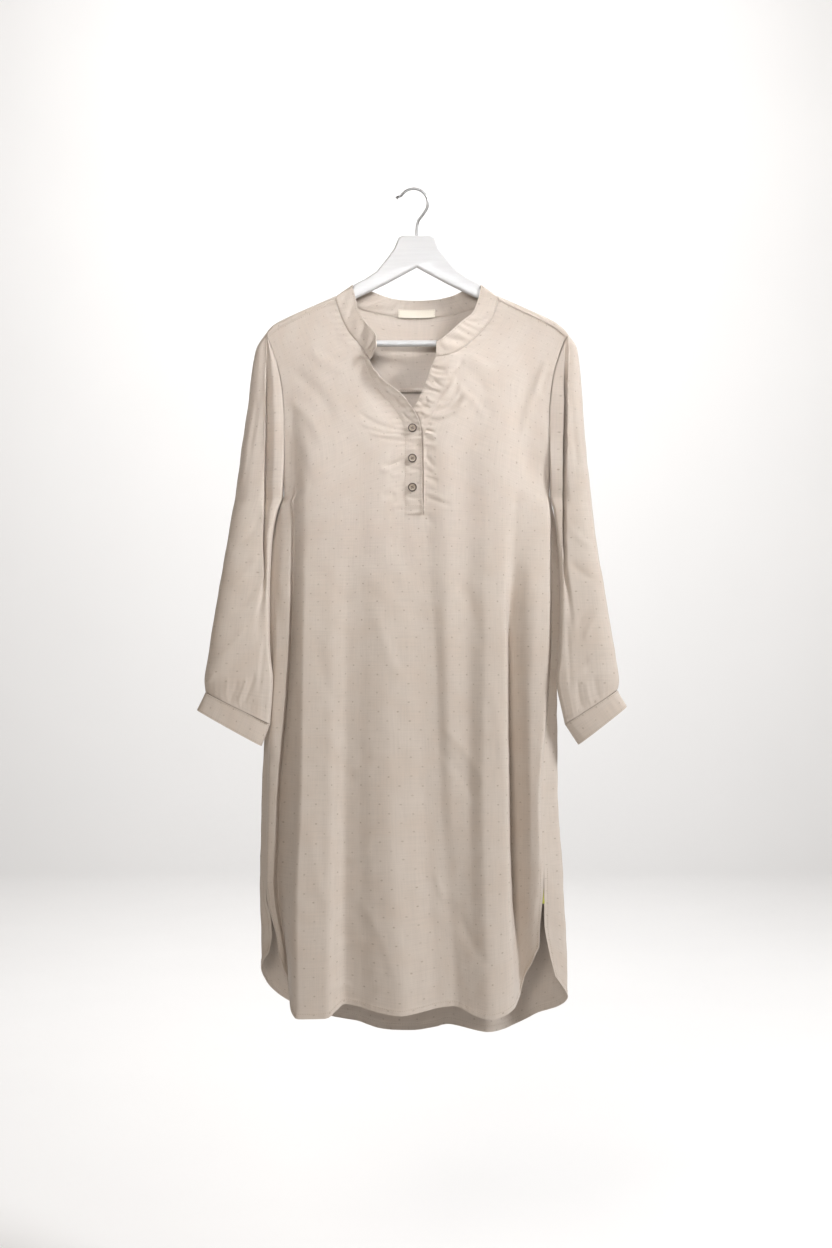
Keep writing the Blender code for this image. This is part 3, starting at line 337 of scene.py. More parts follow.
BACK_CREASES = (
    (-170, 300, -120, 390, 6, 9, -1.1), (-176, 340, -130, 440, 6, 8, 1.0),
    (168, 300, 118, 392, -6, 9, -1.1), (176, 344, 132, 446, -6, 8, 1.0),
    (-60, 300, -44, 420, 3, 7, -0.9), (56, 300, 44, 430, -3, 7, 0.9), (-120, 560, -70, 690, 6, 9, 0.9),
    (90, 600, 130, 740, -6, 9, -0.9), (-160, 760, -130, 900, 4, 8, 0.9), (60, 800, 96, 930, -5, 8, 0.9),
    (-60, 940, -20, 1060, -5, 8, -0.9), (120, 960, 156, 1070, 5, 8, 0.9),
    (-190, 980, -160, 1060, 3, 7, -0.9), (-110, 1060, -80, 1150, 4, 7, 0.8),
    (10, 640, 34, 760, 3, 6, -0.8),
)
# The same on a sleeve, by distance from the centre line, seen from in front.
SLEEVE_CREASES = {
    "left": (
        (226, 300, 240, 380, 2, 4, -1.2), (236, 330, 252, 430, 2, 4, 1.0),
        (222, 470, 262, 520, 4, 5, -1.2), (224, 520, 268, 572, 5, 5, 1.1),
        (226, 566, 262, 604, 4, 5, -1.1), (240, 620, 284, 672, 4, 5, 1.0),
        (296, 706, 284, 690, 0, 3, 1.3), (228, 690, 246, 736, 2, 2.6, -1.2),
        (240, 696, 254, 734, 2, 2.4, 1.0), (252, 700, 262, 728, 1, 2.4, -1.0),
        (266, 694, 270, 724, 1, 2.4, 0.8), (214, 640, 222, 720, 0, 3.4, -1.0),
    ),
    "right": (
        (222, 300, 230, 400, 2, 4, -1.2), (232, 330, 242, 430, 2, 4, 1.0),
        (214, 480, 252, 512, 4, 5, 1.1), (216, 530, 258, 560, 5, 5, -1.1),
        (262, 600, 236, 642, 3, 4, 1.3), (258, 586, 226, 622, 3, 4, -1.2),
        (266, 664, 236, 690, 3, 4, -1.2), (270, 648, 240, 676, 3, 4, 1.2),
        (226, 700, 232, 742, 1, 2.6, -1.1), (238, 700, 244, 736, 1, 2.4, 1.0),
        (250, 694, 256, 728, 1, 2.4, -1.0), (212, 620, 216, 712, 0, 3.4, -1.0),
    ),
}


def linear(hex_colour):
    """Linear colour of an sRGB hex code."""
    parts = [int(hex_colour[i:i + 2], 16) / 255 for i in (1, 3, 5)]
    return tuple(v / 12.92 if v <= 0.04045 else ((v + 0.055) / 1.055) ** 2.4 for v in parts) + (1,)


class DressSettings(PropertyGroup):
    cloth_colour: FloatVectorProperty(
        name="Cloth", description="Colour of the dress cloth in full light", subtype="COLOR",
        size=3, min=0, max=1, default=linear("#ccc1b6")[:3])
    dot_colour: FloatVectorProperty(
        name="Pin dots", description="Colour of the woven pin dots", subtype="COLOR",
        size=3, min=0, max=1, default=linear("#a79a8c")[:3])
    wood_colour: FloatVectorProperty(
        name="Hanger paint", description="Colour of the painted wood", subtype="COLOR",
        size=3, min=0, max=1, default=linear("#cfcfcf")[:3])
    cloth_wall: FloatProperty(
        name="Cloth thickness", description="Thickness of the shown cloth", subtype="DISTANCE",
        unit="LENGTH", min=0.0003, max=0.0015, default=0.001)
    band_wall: FloatProperty(
        name="Band thickness", description="Thickness of collar band, plackets and cuffs",
        subtype="DISTANCE", unit="LENGTH", min=0.0003, max=0.0017, default=0.0014)
    stitch_pitch: FloatProperty(
        name="Stitch length", description="Distance from one stitch to the next", subtype="DISTANCE",
        unit="LENGTH", min=0.002, max=0.006, default=0.0032)
    camera_distance: FloatProperty(
        name="Camera distance", description="From the camera to the hanger's plane",
        subtype="DISTANCE", unit="LENGTH", min=1, max=10, default=2.4)
    key_power: FloatProperty(
        name="Key light", description="Power of the large soft light at the upper right",
        subtype="POWER", unit="POWER", min=0, max=500, default=122)
    world_strength: FloatProperty(
        name="Room light", description="Strength of the even light all round", min=0, max=3,
        default=0.12)


# Lines and sheets of points.


def line(knots, points, at):
    """Points of a smooth line through points set at knots, which never passes beyond them."""
    knots = np.asarray(knots, float)
    values = np.asarray(points, float)
    at = np.clip(np.asarray(at, float), knots[0], knots[-1])
    wide = (-1,) + (1,) * (values.ndim - 1)
    steps = np.diff(knots).reshape(wide)
    rises = np.diff(values, axis=0) / steps
    slopes = np.concatenate((rises[:1], np.zeros_like(rises[1:]), rises[-1:]))
    before, after = rises[:-1], rises[1:]
    same = before * after > 0
    slopes[1:-1] = np.where(same, 2 * before * after / np.where(same, before + after, 1), 0)
    i = np.clip(np.searchsorted(knots, at, side="right") - 1, 0, len(knots) - 2)
    wide = at.shape + (1,) * (values.ndim - 1)
    t = ((at - knots[i]) / np.diff(knots)[i]).reshape(wide)
    step = np.diff(knots)[i].reshape(wide)
    s = 1 - t
    return (values[i] * (1 + 2 * t) * s * s + values[i + 1] * (3 - 2 * t) * t * t
            + step * (slopes[i] * t * s * s - slopes[i + 1] * t * t * s))


def mix(a, b, t):
    return np.asarray(a, float) * (1 - t) + np.asarray(b, float) * t


def ease(t):
    t = np.clip(t, 0.0, 1.0)
    return t * t * (3 - 2 * t)


def eased_between(value, ends):
    return ease((value - ends[0]) / (ends[1] - ends[0]))


def ridge_drop(across):
    return float(line([r[0] for r in RIDGE], [r[1] for r in RIDGE], abs(across)))


def armhole(station, side, face):
    """A point of the armhole, with side -1 or 1 and face -1 in front or 1 behind."""
    across, depth, drop = line(range(len(ARMHOLE)), ARMHOLE, station)
    behind = BACK_DEPTH_SCALE if station < UNDERARM_STATION else 1
    return np.array((side * across, depth if face < 0 else -depth * behind, drop))


def neck_seam(at):
    return line(range(len(NECK)), [n[:3] for n in NECK], at)


def neck_top(at):
    return line(range(len(NECK)), [n[3:] for n in NECK], at)


def level_drop(level, across):
    """Drop of a level below the underarm. The one at the top of the slits tilts."""
    return LEVEL_DROPS[level] - (SLIT_TILT * across if level == SLIT_STATION else 0)


def side_seam(station, side):
    """A point of the side seam from the underarm to the top of the slit."""
    fold = FRONT_FOLDS[0] if side < 0 else FRONT_FOLDS[-1]
    points = [(side * ARMHOLE[-1][0], 0, ARMHOLE[-1][2])]
    for level, (across, depth) in zip(LEVEL_DROPS, fold[2:6]):
        points.append((across, depth, level_drop(level, across)))
    point = line(LOW_STATIONS, points, station)
    if side < 0:
        share = min(1, max(0, (station - UNDERARM_STATION) / LEFT_WIDER_STATIONS))
        point[0] -= LEFT_WIDER * sin(pi * share ** 1.1)
    return point


def front_outer(station, side):
    return armhole(station, side, -1) if station <= UNDERARM_STATION else side_seam(station, side)


def front_inner(station, side):
    """A point where a front half ends at the neck seam and then at its placket strip."""
    if side < 0:
        if station <= LEFT_NECK_STATIONS:
            return neck_seam(NECK_LEFT_CORNER - station)
        return line(range(LEFT_NECK_STATIONS, PLACKET_STATION + 1), LEFT_PLACKET_SEAM, station)
    if station <= RIGHT_NECK_STATIONS:
        return neck_seam(NECK_RIGHT_CORNER + station)
    return line(range(RIGHT_NECK_STATIONS, PLACKET_STATION + 1), RIGHT_PLACKET_SEAM, station)


def shoulder_seam_drop(across):
    share = (abs(across) - NECK_POINT) / (SHOULDER_POINT - NECK_POINT)
    return ridge_drop(across) + SEAM_BELOW[0] + (SEAM_BELOW[1] - SEAM_BELOW[0]) * share


def placket_level_drop(across):
    """Rows tilt from the side seam up to the foot of the placket."""
    share = min(1, max(0, (abs(across) - FALL_FROM) / (FALL_TO - FALL_FROM)))
    return PLACKET_FOOT + PLACKET_FALL * share


def low_fold_point(levels, hem, station, late=1):
    """A point of a fold below the placket, through its levels and on to the hem. The higher late is,
    the later it turns aside to the hem."""
    points = []
    for level, (across, depth) in zip(LEVEL_DROPS, levels):
        foot = level == PLACKET_STATION
        points.append((across, depth, placket_level_drop(across) if foot else level_drop(level, across)))
    # The fold sets out straight down from the placket's level.
    points.insert(0, (points[0][0], points[0][1], 2 * points[0][2] - points[1][2]))
    if station <= SLIT_STATION:
        return line(LOW_STATIONS, points, station)
    start, short = np.array(points[-1]), 0.1
    slope = (start - line(LOW_STATIONS, points, SLIT_STATION - short)) / short
    slope[2] = 0
    t = station - SLIT_STATION
    bend = np.array((ease(t) ** late, ease(t), t))
    return start + slope * t * (1 - t) ** 2 + (np.array(hem) - start) * bend


def front_fold_point(index, station):
    """A point of one lengthwise fold of the front."""
    fold = FRONT_FOLDS[index]
    if station >= PLACKET_STATION:
        if station <= SLIT_STATION and index in (0, len(FRONT_FOLDS) - 1):
            return side_seam(station, -1 if index == 0 else 1)
        return low_fold_point(fold[2:6], fold[6], station, FRONT_LEFT_LATE if index == 0 else 1)
    side = -1 if index <= LEFT_SLOT_FOLD else 1
    end = FRONT_FOLDS[0 if side < 0 else -1][2]
    slot = FRONT_FOLDS[LEFT_SLOT_FOLD if side < 0 else RIGHT_SLOT_FOLD][2]
    share = (fold[2][0] - end[0]) / (slot[0] - end[0])
    outer = front_outer(station, side)
    if station > STRAIGHT_FROM:
        # The seam turns back to the underarm, and the cloth a fifth further in hangs straight past it.
        way = (station - STRAIGHT_FROM) / (PLACKET_STATION - STRAIGHT_FROM)
        past = mix(armhole(STRAIGHT_FROM, side, -1)[1], end[1], way)
        outer[1] += (past - outer[1]) * ease(share * 5)
    across, depth, drop = mix(outer, front_inner(station, side), share)
    relief = fold[2][1] - (end[1] + (slot[1] - end[1]) * share)
    begin = STRIPS_FROM if index in STRIP_FOLDS else FOLDS_FROM
    depth += relief * eased_between(station, (begin, PLACKET_STATION))
    straight = mix(front_outer(0, side), front_inner(0, side), share)
    bend = max(0, 1 - station / SHOULDER_STATIONS) ** 2
    drop += (shoulder_seam_drop(straight[0]) - straight[2]) * bend
    depth -= CHEST_SWELL * sin(pi * share) * ease(station / SHOULDER_STATIONS)
    return np.array((across, depth, drop))


def back_fold_point(index, station):
    """A point of one lengthwise fold of the back."""
    fold = BACK_FOLDS[index]
    side = -1 if index == 0 else 1
    edge = index in (0, len(BACK_FOLDS) - 1)
    if edge and station <= SLIT_STATION:
        return armhole(station, side, 1) if station <= UNDERARM_STATION else side_seam(station, side)
    if station > PLACKET_STATION:
        point = low_fold_point(fold[3:7], fold[7], station, BACK_RIGHT_LATE if edge and index else 1)
        if index == 0:
            # This edge keeps close behind the front's edge before it parts from it.
            close = front_fold_point(0, station)[:2] + (-SLIT_GAP, SLIT_GAP)
            point[:2] = mix(close, point[:2], eased_between(station, SLIT_PARTS))
        return point
    across, depth = line((YOKE_STATION, PLACKET_STATION), (fold[2], fold[3]), station)
    beside = 1 if fold[2][0] > 0 else -1
    seam = armhole(station, beside, 1) if station <= UNDERARM_STATION else side_seam(station, beside)
    if index in (1, len(BACK_FOLDS) - 2):
        ends = BACK_FOLDS[0 if beside < 0 else -1]
        offsets = np.array(fold[2:4], float) - np.array(ends[2:4], float)
        wrapped = eased_between(station, (WRAPS_FROM, PLACKET_STATION))
        across, depth = seam[:2] + mix(offsets[0], offsets[1], wrapped)
    level = placket_level_drop(across) if station == PLACKET_STATION else seam[2]
    return np.array((across, depth, seam[2] + (level - seam[2]) * ease(station - UNDERARM_STATION)))


def columns_of(folds):
    places = [0]
    for fold in folds[:-1]:
        places.append(places[-1] + fold[1])
    return places


def station_rows(first, last):
    """Stations of the rows from first to last, as the solids have them."""
    rows = []
    for station in range(first, last):
        count = ROWS_PER_STATION if station < PLACKET_STATION else LOWER_ROWS_PER_STATION
        rows += [station + k / count for k in range(count)]
    return rows + [last]


def spread(folds, point_of, rows):
    """Points of a sheet: smooth across its folds, on every row."""
    places = columns_of(folds)
    return np.array([line(places, [point_of(i, station) for i in range(len(folds))],
                          np.arange(places[-1] + 1)) for station in rows])


def pulled(sheet, left=0, right=0, top=0, bottom=0):
    """The sheet with its edges drawn in by small seam gaps."""
    sheet = np.array(sheet, float)
    for gap, edge, beside in ((left, np.s_[:, 0], np.s_[:, 1]), (right, np.s_[:, -1], np.s_[:, -2]),
                              (top, np.s_[0], np.s_[1]), (bottom, np.s_[-1], np.s_[-2])):
        way = sheet[beside] - sheet[edge]
        length = np.maximum(np.linalg.norm(way, axis=-1, keepdims=True), 1e-6)
        sheet[edge] = sheet[edge] + way * gap / length
    return sheet


def refined(sheet, down, across):
    """The sheet on a finer grid: down and across give the steps in each of its intervals."""
    for axis, counts in ((0, down), (1, across)):
        sheet = np.asarray(sheet, float)
        size = sheet.shape[axis] - 1
        counts = [counts] * size if isinstance(counts, int) else counts
        at = [i + k / n for i, n in enumerate(counts) for k in range(n)] + [size]
        moved = np.moveaxis(sheet, axis, 0)
        sheet = np.moveaxis(line(range(size + 1), moved, at), 0, axis)
    return sheet


def steps_for(sheet, axis, size):
    """Steps in each interval of a sheet so that none is longer than size, taken at its longest. Size
    is one length, or one for each interval."""
    longest = np.linalg.norm(np.diff(sheet, axis=axis), axis=-1).max(axis=1 - axis)
    return [max(2, int(np.ceil(length))) for length in longest / size]


def normals_of(sheet, outside):
    """Unit normals of a sheet, out of the cloth. Outside is 1 where the sheet runs down and to the
    right as seen from its outer face's back, and -1 otherwise."""
    down, over = np.gradient(sheet, axis=0), np.gradient(sheet, axis=1)
    world = np.array((1, 1, -1))
    normal = np.cross(over * world, down * world) * outside
    return normal / np.maximum(np.linalg.norm(normal, axis=-1, keepdims=True), 1e-9) * world


# A crease runs on past its ends and dies out there, in shares of its length.
CREASE_OVERRUN, CREASE_FADE = 0.08, 0.3


def crease_heights(sheet, creases, mirrored=1):
    """Height of the listed creases at every point of a sheet, by its across and drop."""
    height = np.zeros(sheet.shape[:2])
    place = sheet[..., [0, 2]] * (mirrored, 1)
    for x0, y0, x1, y1, bow, half, rise in creases:
        start, way = np.array((x0, y0), float), np.array((x1 - x0, y1 - y0), float)
        length = np.linalg.norm(way)
        t = (place - start) @ way / length ** 2
        off = (place - start) @ np.array((-way[1], way[0])) / length - bow * 4 * t * (1 - t)
        inside = np.minimum(t + CREASE_OVERRUN, 1 + CREASE_OVERRUN - t) / CREASE_FADE
        height += rise * ease(inside) * np.exp(-(off / half) ** 2)
    return height


def unevenness(sheet, size, seed):
    """Slow waves that keep the cloth from looking machined."""
    x, y, z = sheet[..., 0], sheet[..., 1], sheet[..., 2]
    return size * (np.sin(x / 17 + z / 61 + seed) * np.sin(z / 43 - x / 90 + 2 * seed)
                   + 0.6 * np.sin(x / 7.3 + 3 * np.sin(z / 37 + seed)) * np.sin(z / 19 + seed)
                   + 0.35 * np.sin((x + z) / 6.1 + 2 * np.sin(y / 5 + seed)))


def puckers(distance, along, reach, period, rise, seed=0.0):
    """Small gathers that a row of stitches draws into the cloth beside it."""
    wave = np.sin(2 * pi * along / period + 1.7 * np.sin(along / (period * 2.3) + seed))
    strength = 0.65 + 0.35 * np.sin(along / (period * 3.1) + 2 * seed)
    return rise * wave * strength * np.exp(-np.abs(distance) / reach)


def hem_fold(above, along, width, seed):
    """Height of a narrow turned-up hem: thicker up to its stitches, and gathered a little by them."""
    fold = HEM_RISE * (1 - ease((above - width + HEM_END / 3) / HEM_END))
    return fold + puckers(above - width * 0.7, along, reach=5, period=8.6, rise=0.5, seed=seed)


def steps_in(count):
    """How many steps each of a number of places lies from the nearer end."""
    return np.minimum(np.arange(count), np.arange(count)[::-1])


def faded(heights, steps=3):
    """A panel's heights, dying out over the last steps to its side edges and its top edge."""
    rows, columns = heights.shape
    return heights * ease(steps_in(columns) / steps)[None] * ease(np.arange(rows) / steps)[:, None]


# Objects and materials.


def plug(tree, made, inputs):
    """Fills a node's inputs by number or name: a value that is itself an output is linked, and any
    other is set. The numbers used below are, for Noise: 0 place, 2 scale, 3 detail. For Map Range: 0
    value, 1 and 2 its range, 3 and 4 the new one. For Mix: 0 share, then 2 and 3 the two numbers or 6
    and 7 the two colours."""
    for socket, value in inputs.items():
        if isinstance(value, bpy.types.NodeSocket):
            tree.links.new(value, made.inputs[socket])
        else:
            made.inputs[socket].default_value = value


def node(tree, kind, inputs, out=0, **settings):
    """Adds a shader node with its settings, fills its inputs, and gives one of its outputs."""
    made = tree.nodes.new(kind)
    for name, value in settings.items():
        setattr(made, name, value)
    plug(tree, made, inputs)
    return made.outputs[out]


def new_material(name, roughness, metallic=0.0, specular=0.5, sheen=0.0, coat=0.0):
    made = bpy.data.materials.new(name)
    made.use_nodes = True
    shader = made.node_tree.nodes["Principled BSDF"]
    plug(made.node_tree, shader, {
        "Roughness": roughness, "Metallic": metallic, "Specular IOR Level": specular,
        "Sheen Weight": sheen, "Coat Weight": coat})
    return made, made.node_tree, shader


def finish(name, make, *values):
    """The material of that name, made once."""
    return bpy.data.materials.get(name) or make(name, *values)


def per_metre(size):
    """Scale of a noise whose patches are about that many millimetres."""
    return 1000 / size


# Pin dots of the cloth, in millimetres: 10.5 apart across and 13 down in staggered rows, 2.5 wide.
DOT_ACROSS, DOT_DOWN, DOT_RADIUS, DOT_STRAY = 10.5, 13.0, 1.25, 2.2
# The stray of the dots changes over 26 mm, and how worn they are over 17 mm.
STRAY_PATCH, WEAR_PATCH = 26.0, 17.0
# Slubs are runs of thicker yarn about 38 mm long and 1.1 mm wide. They lie both ways in a plain weave.
SLUB_LONG, SLUB_WIDE = 38.0, 1.1
# The real yarns lie about 0.4 mm apart, too fine to show here, so they are drawn 0.9 mm apart.
YARN_PITCH = 0.9
# Soft clouds of a slightly warmer tone, from washing, are about 42 mm wide.
CLOUD_PATCH = 42.0


def cloth_material(name):
    """Plain weave of viscose and linen, washed soft: matt and slightly napped, so it has no gloss and a
    pale bloom at its edges. Slubs give short darker streaks both ways, and pin dots a faint pattern."""
    settings = bpy.context.scene.dress_settings
    made, tree, shader = new_material(name, roughness=0.86, specular=0.22, sheen=0.25)
    place = node(tree, "ShaderNodeUVMap", {}, uv_map="cloth")

    # Each dot strays a little from its place, as woven ones do. Its place on the staggered rows is the
    # nearest whole number of the sum and of the difference of the two ways.
    stray = node(tree, "ShaderNodeTexNoise", {0: place, 2: per_metre(STRAY_PATCH), 3: 1.0}, out=1)
    strayed = node(tree, "ShaderNodeVectorMath", {0: stray, 1: (DOT_STRAY * 2 * MM,) * 3, 2: place},
                   operation="MULTIPLY_ADD")
    u = node(tree, "ShaderNodeSeparateXYZ", {0: strayed}, out=0)
    v = node(tree, "ShaderNodeSeparateXYZ", {0: strayed}, out=1)
    x = node(tree, "ShaderNodeMath", {0: u, 1: DOT_ACROSS * MM}, operation="DIVIDE")
    y = node(tree, "ShaderNodeMath", {0: v, 1: DOT_DOWN * MM}, operation="DIVIDE")
    off = []
    for operation in ("ADD", "SUBTRACT"):
        both = node(tree, "ShaderNodeMath", {0: x, 1: y}, operation=operation)
        half = node(tree, "ShaderNodeMath", {0: both, 1: 0.5}, operation="MULTIPLY")
        whole = node(tree, "ShaderNodeMath", {0: half}, operation="ROUND")
        off.append(node(tree, "ShaderNodeMath", {0: half, 1: whole}, operation="SUBTRACT"))
    over = node(tree, "ShaderNodeMath", {0: off[0], 1: off[1]}, operation="ADD")
    down = node(tree, "ShaderNodeMath", {0: off[0], 1: off[1]}, operation="SUBTRACT")
    over = node(tree, "ShaderNodeMath", {0: over, 1: DOT_ACROSS}, operation="MULTIPLY")
    down = node(tree, "ShaderNodeMath", {0: down, 1: DOT_DOWN}, operation="MULTIPLY")
    away = node(tree, "ShaderNodeVectorMath",
                {0: node(tree, "ShaderNodeCombineXYZ", {0: over, 1: down})}, out=1, operation="LENGTH")
    dots = node(tree, "ShaderNodeMapRange",
                {0: away, 1: DOT_RADIUS * 0.5, 2: DOT_RADIUS * 1.2, 3: 1.0, 4: 0.0},
                interpolation_type="SMOOTHSTEP")
    worn = node(tree, "ShaderNodeTexNoise", {0: place, 2: per_metre(WEAR_PATCH), 3: 2.0})
    worn = node(tree, "ShaderNodeMapRange", {0: worn, 1: 0.35, 2: 0.65, 3: 0.25, 4: 0.85})
    dot_share = node(tree, "ShaderNodeMath", {0: dots, 1: worn}, operation="MULTIPLY")

    slubs = []
    for sizes in ((SLUB_LONG, SLUB_WIDE), (SLUB_WIDE * 1.3, SLUB_LONG * 1.2)):
        scale = tuple(per_metre(size) for size in sizes) + (1,)
        stretched = node(tree, "ShaderNodeMapping", {0: place, 3: scale})
        slubs.append(node(tree, "ShaderNodeTexNoise", {0: stretched, 2: 1.0, 3: 2.0}))
    yarn = node(tree, "ShaderNodeMix", {0: 0.45, 2: slubs[0], 3: slubs[1]}, data_type="FLOAT")
    slub_share = node(tree, "ShaderNodeMapRange", {0: yarn, 1: 0.42, 2: 0.64, 3: 0.0, 4: 0.6})
    cloudy = node(tree, "ShaderNodeTexNoise", {0: place, 2: per_metre(CLOUD_PATCH), 3: 3.0})
    cloud_share = node(tree, "ShaderNodeMapRange", {0: cloudy, 1: 0.4, 2: 0.65, 3: 0.0, 4: 1.0})

    cloth, dot = tuple(settings.cloth_colour) + (1,), tuple(settings.dot_colour) + (1,)
    darker = tuple(c * 0.86 for c in cloth[:3]) + (1,)
    warmer = (cloth[0] * 0.98, cloth[1] * 0.955, cloth[2] * 0.935, 1)
    colour = node(tree, "ShaderNodeMix", {0: cloud_share, 6: cloth, 7: warmer}, out=2, data_type="RGBA")
    colour = node(tree, "ShaderNodeMix", {0: slub_share, 6: colour, 7: darker}, out=2, data_type="RGBA")
    colour = node(tree, "ShaderNodeMix", {0: dot_share, 6: colour, 7: dot}, out=2, data_type="RGBA")

    # One yarn goes over and one under, and the slubs stand up a little.
    threads = []
    for k in (0, 1):
        way = node(tree, "ShaderNodeSeparateXYZ", {0: place}, out=k)
        turns = node(tree, "ShaderNodeMath", {0: way, 1: 2 * pi / (YARN_PITCH * MM)},
                     operation="MULTIPLY")
        threads.append(node(tree, "ShaderNodeMath", {0: turns}, operation="SINE"))
    weave = node(tree, "ShaderNodeMath", {0: threads[0], 1: threads[1]}, operation="MULTIPLY")
    height = node(tree, "ShaderNodeMath", {0: weave, 1: 0.25, 2: yarn}, operation="MULTIPLY_ADD")
    bump = node(tree, "ShaderNodeBump", {"Strength": 0.45, "Distance": 0.28 * MM, "Height": height})
    plug(tree, shader, {"Base Color": colour, "Normal": bump, "Sheen Roughness": 0.45})
    return made


def painted_wood_material(name):
    """Beech, sprayed white and left satin: a soft gloss with wide highlights. The grain, 3 to 8 mm wide
    and some 55 mm long, only just shows as faint streaks and an uneven shine."""
    made, tree, shader = new_material(name, roughness=0.42, coat=0.12)
    place = node(tree, "ShaderNodeTexCoord", {}, out="Object")
    scale = tuple(per_metre(size) for size in (55, 8, 3))
    grain = node(tree, "ShaderNodeMapping", {0: place, 3: scale})
    noise = node(tree, "ShaderNodeTexNoise", {0: grain, 2: 1.0, 3: 4.0})
    paint = tuple(bpy.context.scene.dress_settings.wood_colour) + (1,)
    shade = tuple(c * 0.93 for c in paint[:3]) + (1,)
    share = node(tree, "ShaderNodeMapRange", {0: noise, 1: 0.4, 2: 0.75, 3: 0.0, 4: 0.7})
    colour = node(tree, "ShaderNodeMix", {0: share, 6: paint, 7: shade}, out=2, data_type="RGBA")
    rough = node(tree, "ShaderNodeMapRange", {0: noise, 1: 0.3, 2: 0.7, 3: 0.36, 4: 0.5})
    bump = node(tree, "ShaderNodeBump", {"Strength": 0.2, "Distance": 0.2 * MM, "Height": noise})
    plug(tree, shader, {"Base Color": colour, "Roughness": rough, "Normal": bump})
    return made


def wire_material(name):
    """Steel wire, drawn and zinc plated: a grey metal, half bright, clouded in patches of 2.4 mm."""
    made, tree, shader = new_material(name, roughness=0.34, metallic=1.0)
    place = node(tree, "ShaderNodeTexCoord", {}, out="Object")
    noise = node(tree, "ShaderNodeTexNoise", {0: place, 2: per_metre(2.4), 3: 3.0})
    colour = node(tree, "ShaderNodeMix", {0: noise, 6: linear("#8d8e8f"), 7: linear("#c2c3c4")}, out=2,
                  data_type="RGBA")
    rough = node(tree, "ShaderNodeMapRange", {0: noise, 1: 0.3, 2: 0.7, 3: 0.26, 4: 0.46})
    plug(tree, shader, {"Base Color": colour, "Roughness": rough})
    return made


def resin_material(name, light, dark, roughness):
    """Polyester resin, cast and tumbled: a satin shine over a soft cloud of two tones, 2.6 mm wide."""
    made, tree, shader = new_material(name, roughness, coat=0.2)
    place = node(tree, "ShaderNodeTexCoord", {}, out="Object")
    noise = node(tree, "ShaderNodeTexNoise", {0: place, 2: per_metre(2.6), 3: 3.0})
    colour = node(tree, "ShaderNodeMix", {0: noise, 6: linear(light), 7: linear(dark)}, out=2,
                  data_type="RGBA")
    plug(tree, shader, {"Base Color": colour})
    return made


# Ribs of the woven tapes lie about 0.3 mm apart and are drawn 0.8 mm apart, so that they show.
RIB_PITCH = 0.8


def tape_material(name, light, dark):
    """Polyester tape, woven in fine ribs across: smoother than the dress cloth, with a slight sheen."""
    made, tree, shader = new_material(name, roughness=0.62, specular=0.3, sheen=0.2)
    place = node(tree, "ShaderNodeUVMap", {}, uv_map="cloth")
    down = node(tree, "ShaderNodeSeparateXYZ", {0: place}, out=1)
    turns = node(tree, "ShaderNodeMath", {0: down, 1: 2 * pi / (RIB_PITCH * MM)}, operation="MULTIPLY")
    rib = node(tree, "ShaderNodeMath", {0: turns}, operation="SINE")
    share = node(tree, "ShaderNodeMapRange", {0: rib, 1: -1.0, 2: 1.0, 3: 0.0, 4: 1.0})
    colour = node(tree, "ShaderNodeMix", {0: share, 6: linear(light), 7: linear(dark)}, out=2,
                  data_type="RGBA")
    bump = node(tree, "ShaderNodeBump", {"Strength": 0.4, "Distance": 0.2 * MM, "Height": rib})
    plug(tree, shader, {"Base Color": colour, "Normal": bump})
    return made


def thread_material(name):
    """Spun polyester thread: a little shinier and darker than the cloth, mottled every 1.1 mm."""
    made, tree, shader = new_material(name, roughness=0.6, specular=0.35, sheen=0.15)
    place = node(tree, "ShaderNodeTexCoord", {}, out="Object")
    noise = node(tree, "ShaderNodeTexNoise", {0: place, 2: per_metre(1.1), 3: 2.0})
    colour = node(tree, "ShaderNodeMix", {0: noise, 6: linear("#b9ac9b"), 7: linear("#a08f7b")}, out=2,
                  data_type="RGBA")
    plug(tree, shader, {"Base Color": colour})
    return made


def paper_material(name):
    """Wide roll of matt background paper: pale and without any shine, cloudy only over half a metre."""
    made, tree, shader = new_material(name, roughness=0.95, specular=0.1)
    place = node(tree, "ShaderNodeTexCoord", {}, out="Object")
    noise = node(tree, "ShaderNodeTexNoise", {0: place, 2: per_metre(500)})
    colour = node(tree, "ShaderNodeMix", {0: noise, 6: linear("#f6f6f6"), 7: linear("#f2f2f2")}, out=2,
                  data_type="RGBA")
    plug(tree, shader, {"Base Color": colour})
    return made


def put(name, data):
    """A new object in the scene."""
    made = bpy.data.objects.new(name, data)
    bpy.context.scene.collection.objects.link(made)
    return made


def mesh_from(bm, name, sharp_from=None):
    """Ends a bmesh as a smooth mesh, with its edges kept sharp from an angle on where one is given."""
    mesh = bpy.data.meshes.new(name)
    bm.to_mesh(mesh)
    bm.free()
    mesh.shade_smooth()
    if sharp_from:
        mesh.set_sharp_from_angle(angle=radians(sharp_from))
    return mesh


def applied(made):
    """The mesh that an object's modifiers or curve give. The object itself goes."""
    bpy.context.view_layer.update()
    seen = made.evaluated_get(bpy.context.evaluated_depsgraph_get())
    mesh = bpy.data.meshes.new_from_object(seen)
    bpy.data.objects.remove(made)
    return mesh


def add_piece(name, mesh, materials, node_names=()):
    """Puts in a finished mesh as a piece that rides on the one body."""
    made = put(name, mesh)
    for material in materials:
        mesh.materials.append(material)
    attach(made, "root")
    if node_names:
        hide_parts(*node_names)
    return made


# Edges of the cloth and of the hanger that turn by more degrees than this stay sharp.
CLOTH_SHARP, HANGER_SHARP = 55, 35


def to_world(points):
    points = np.asarray(points, float)
    return (points * (1, 1, -1) + (CENTRE_ACROSS, 0, 0)) * MM


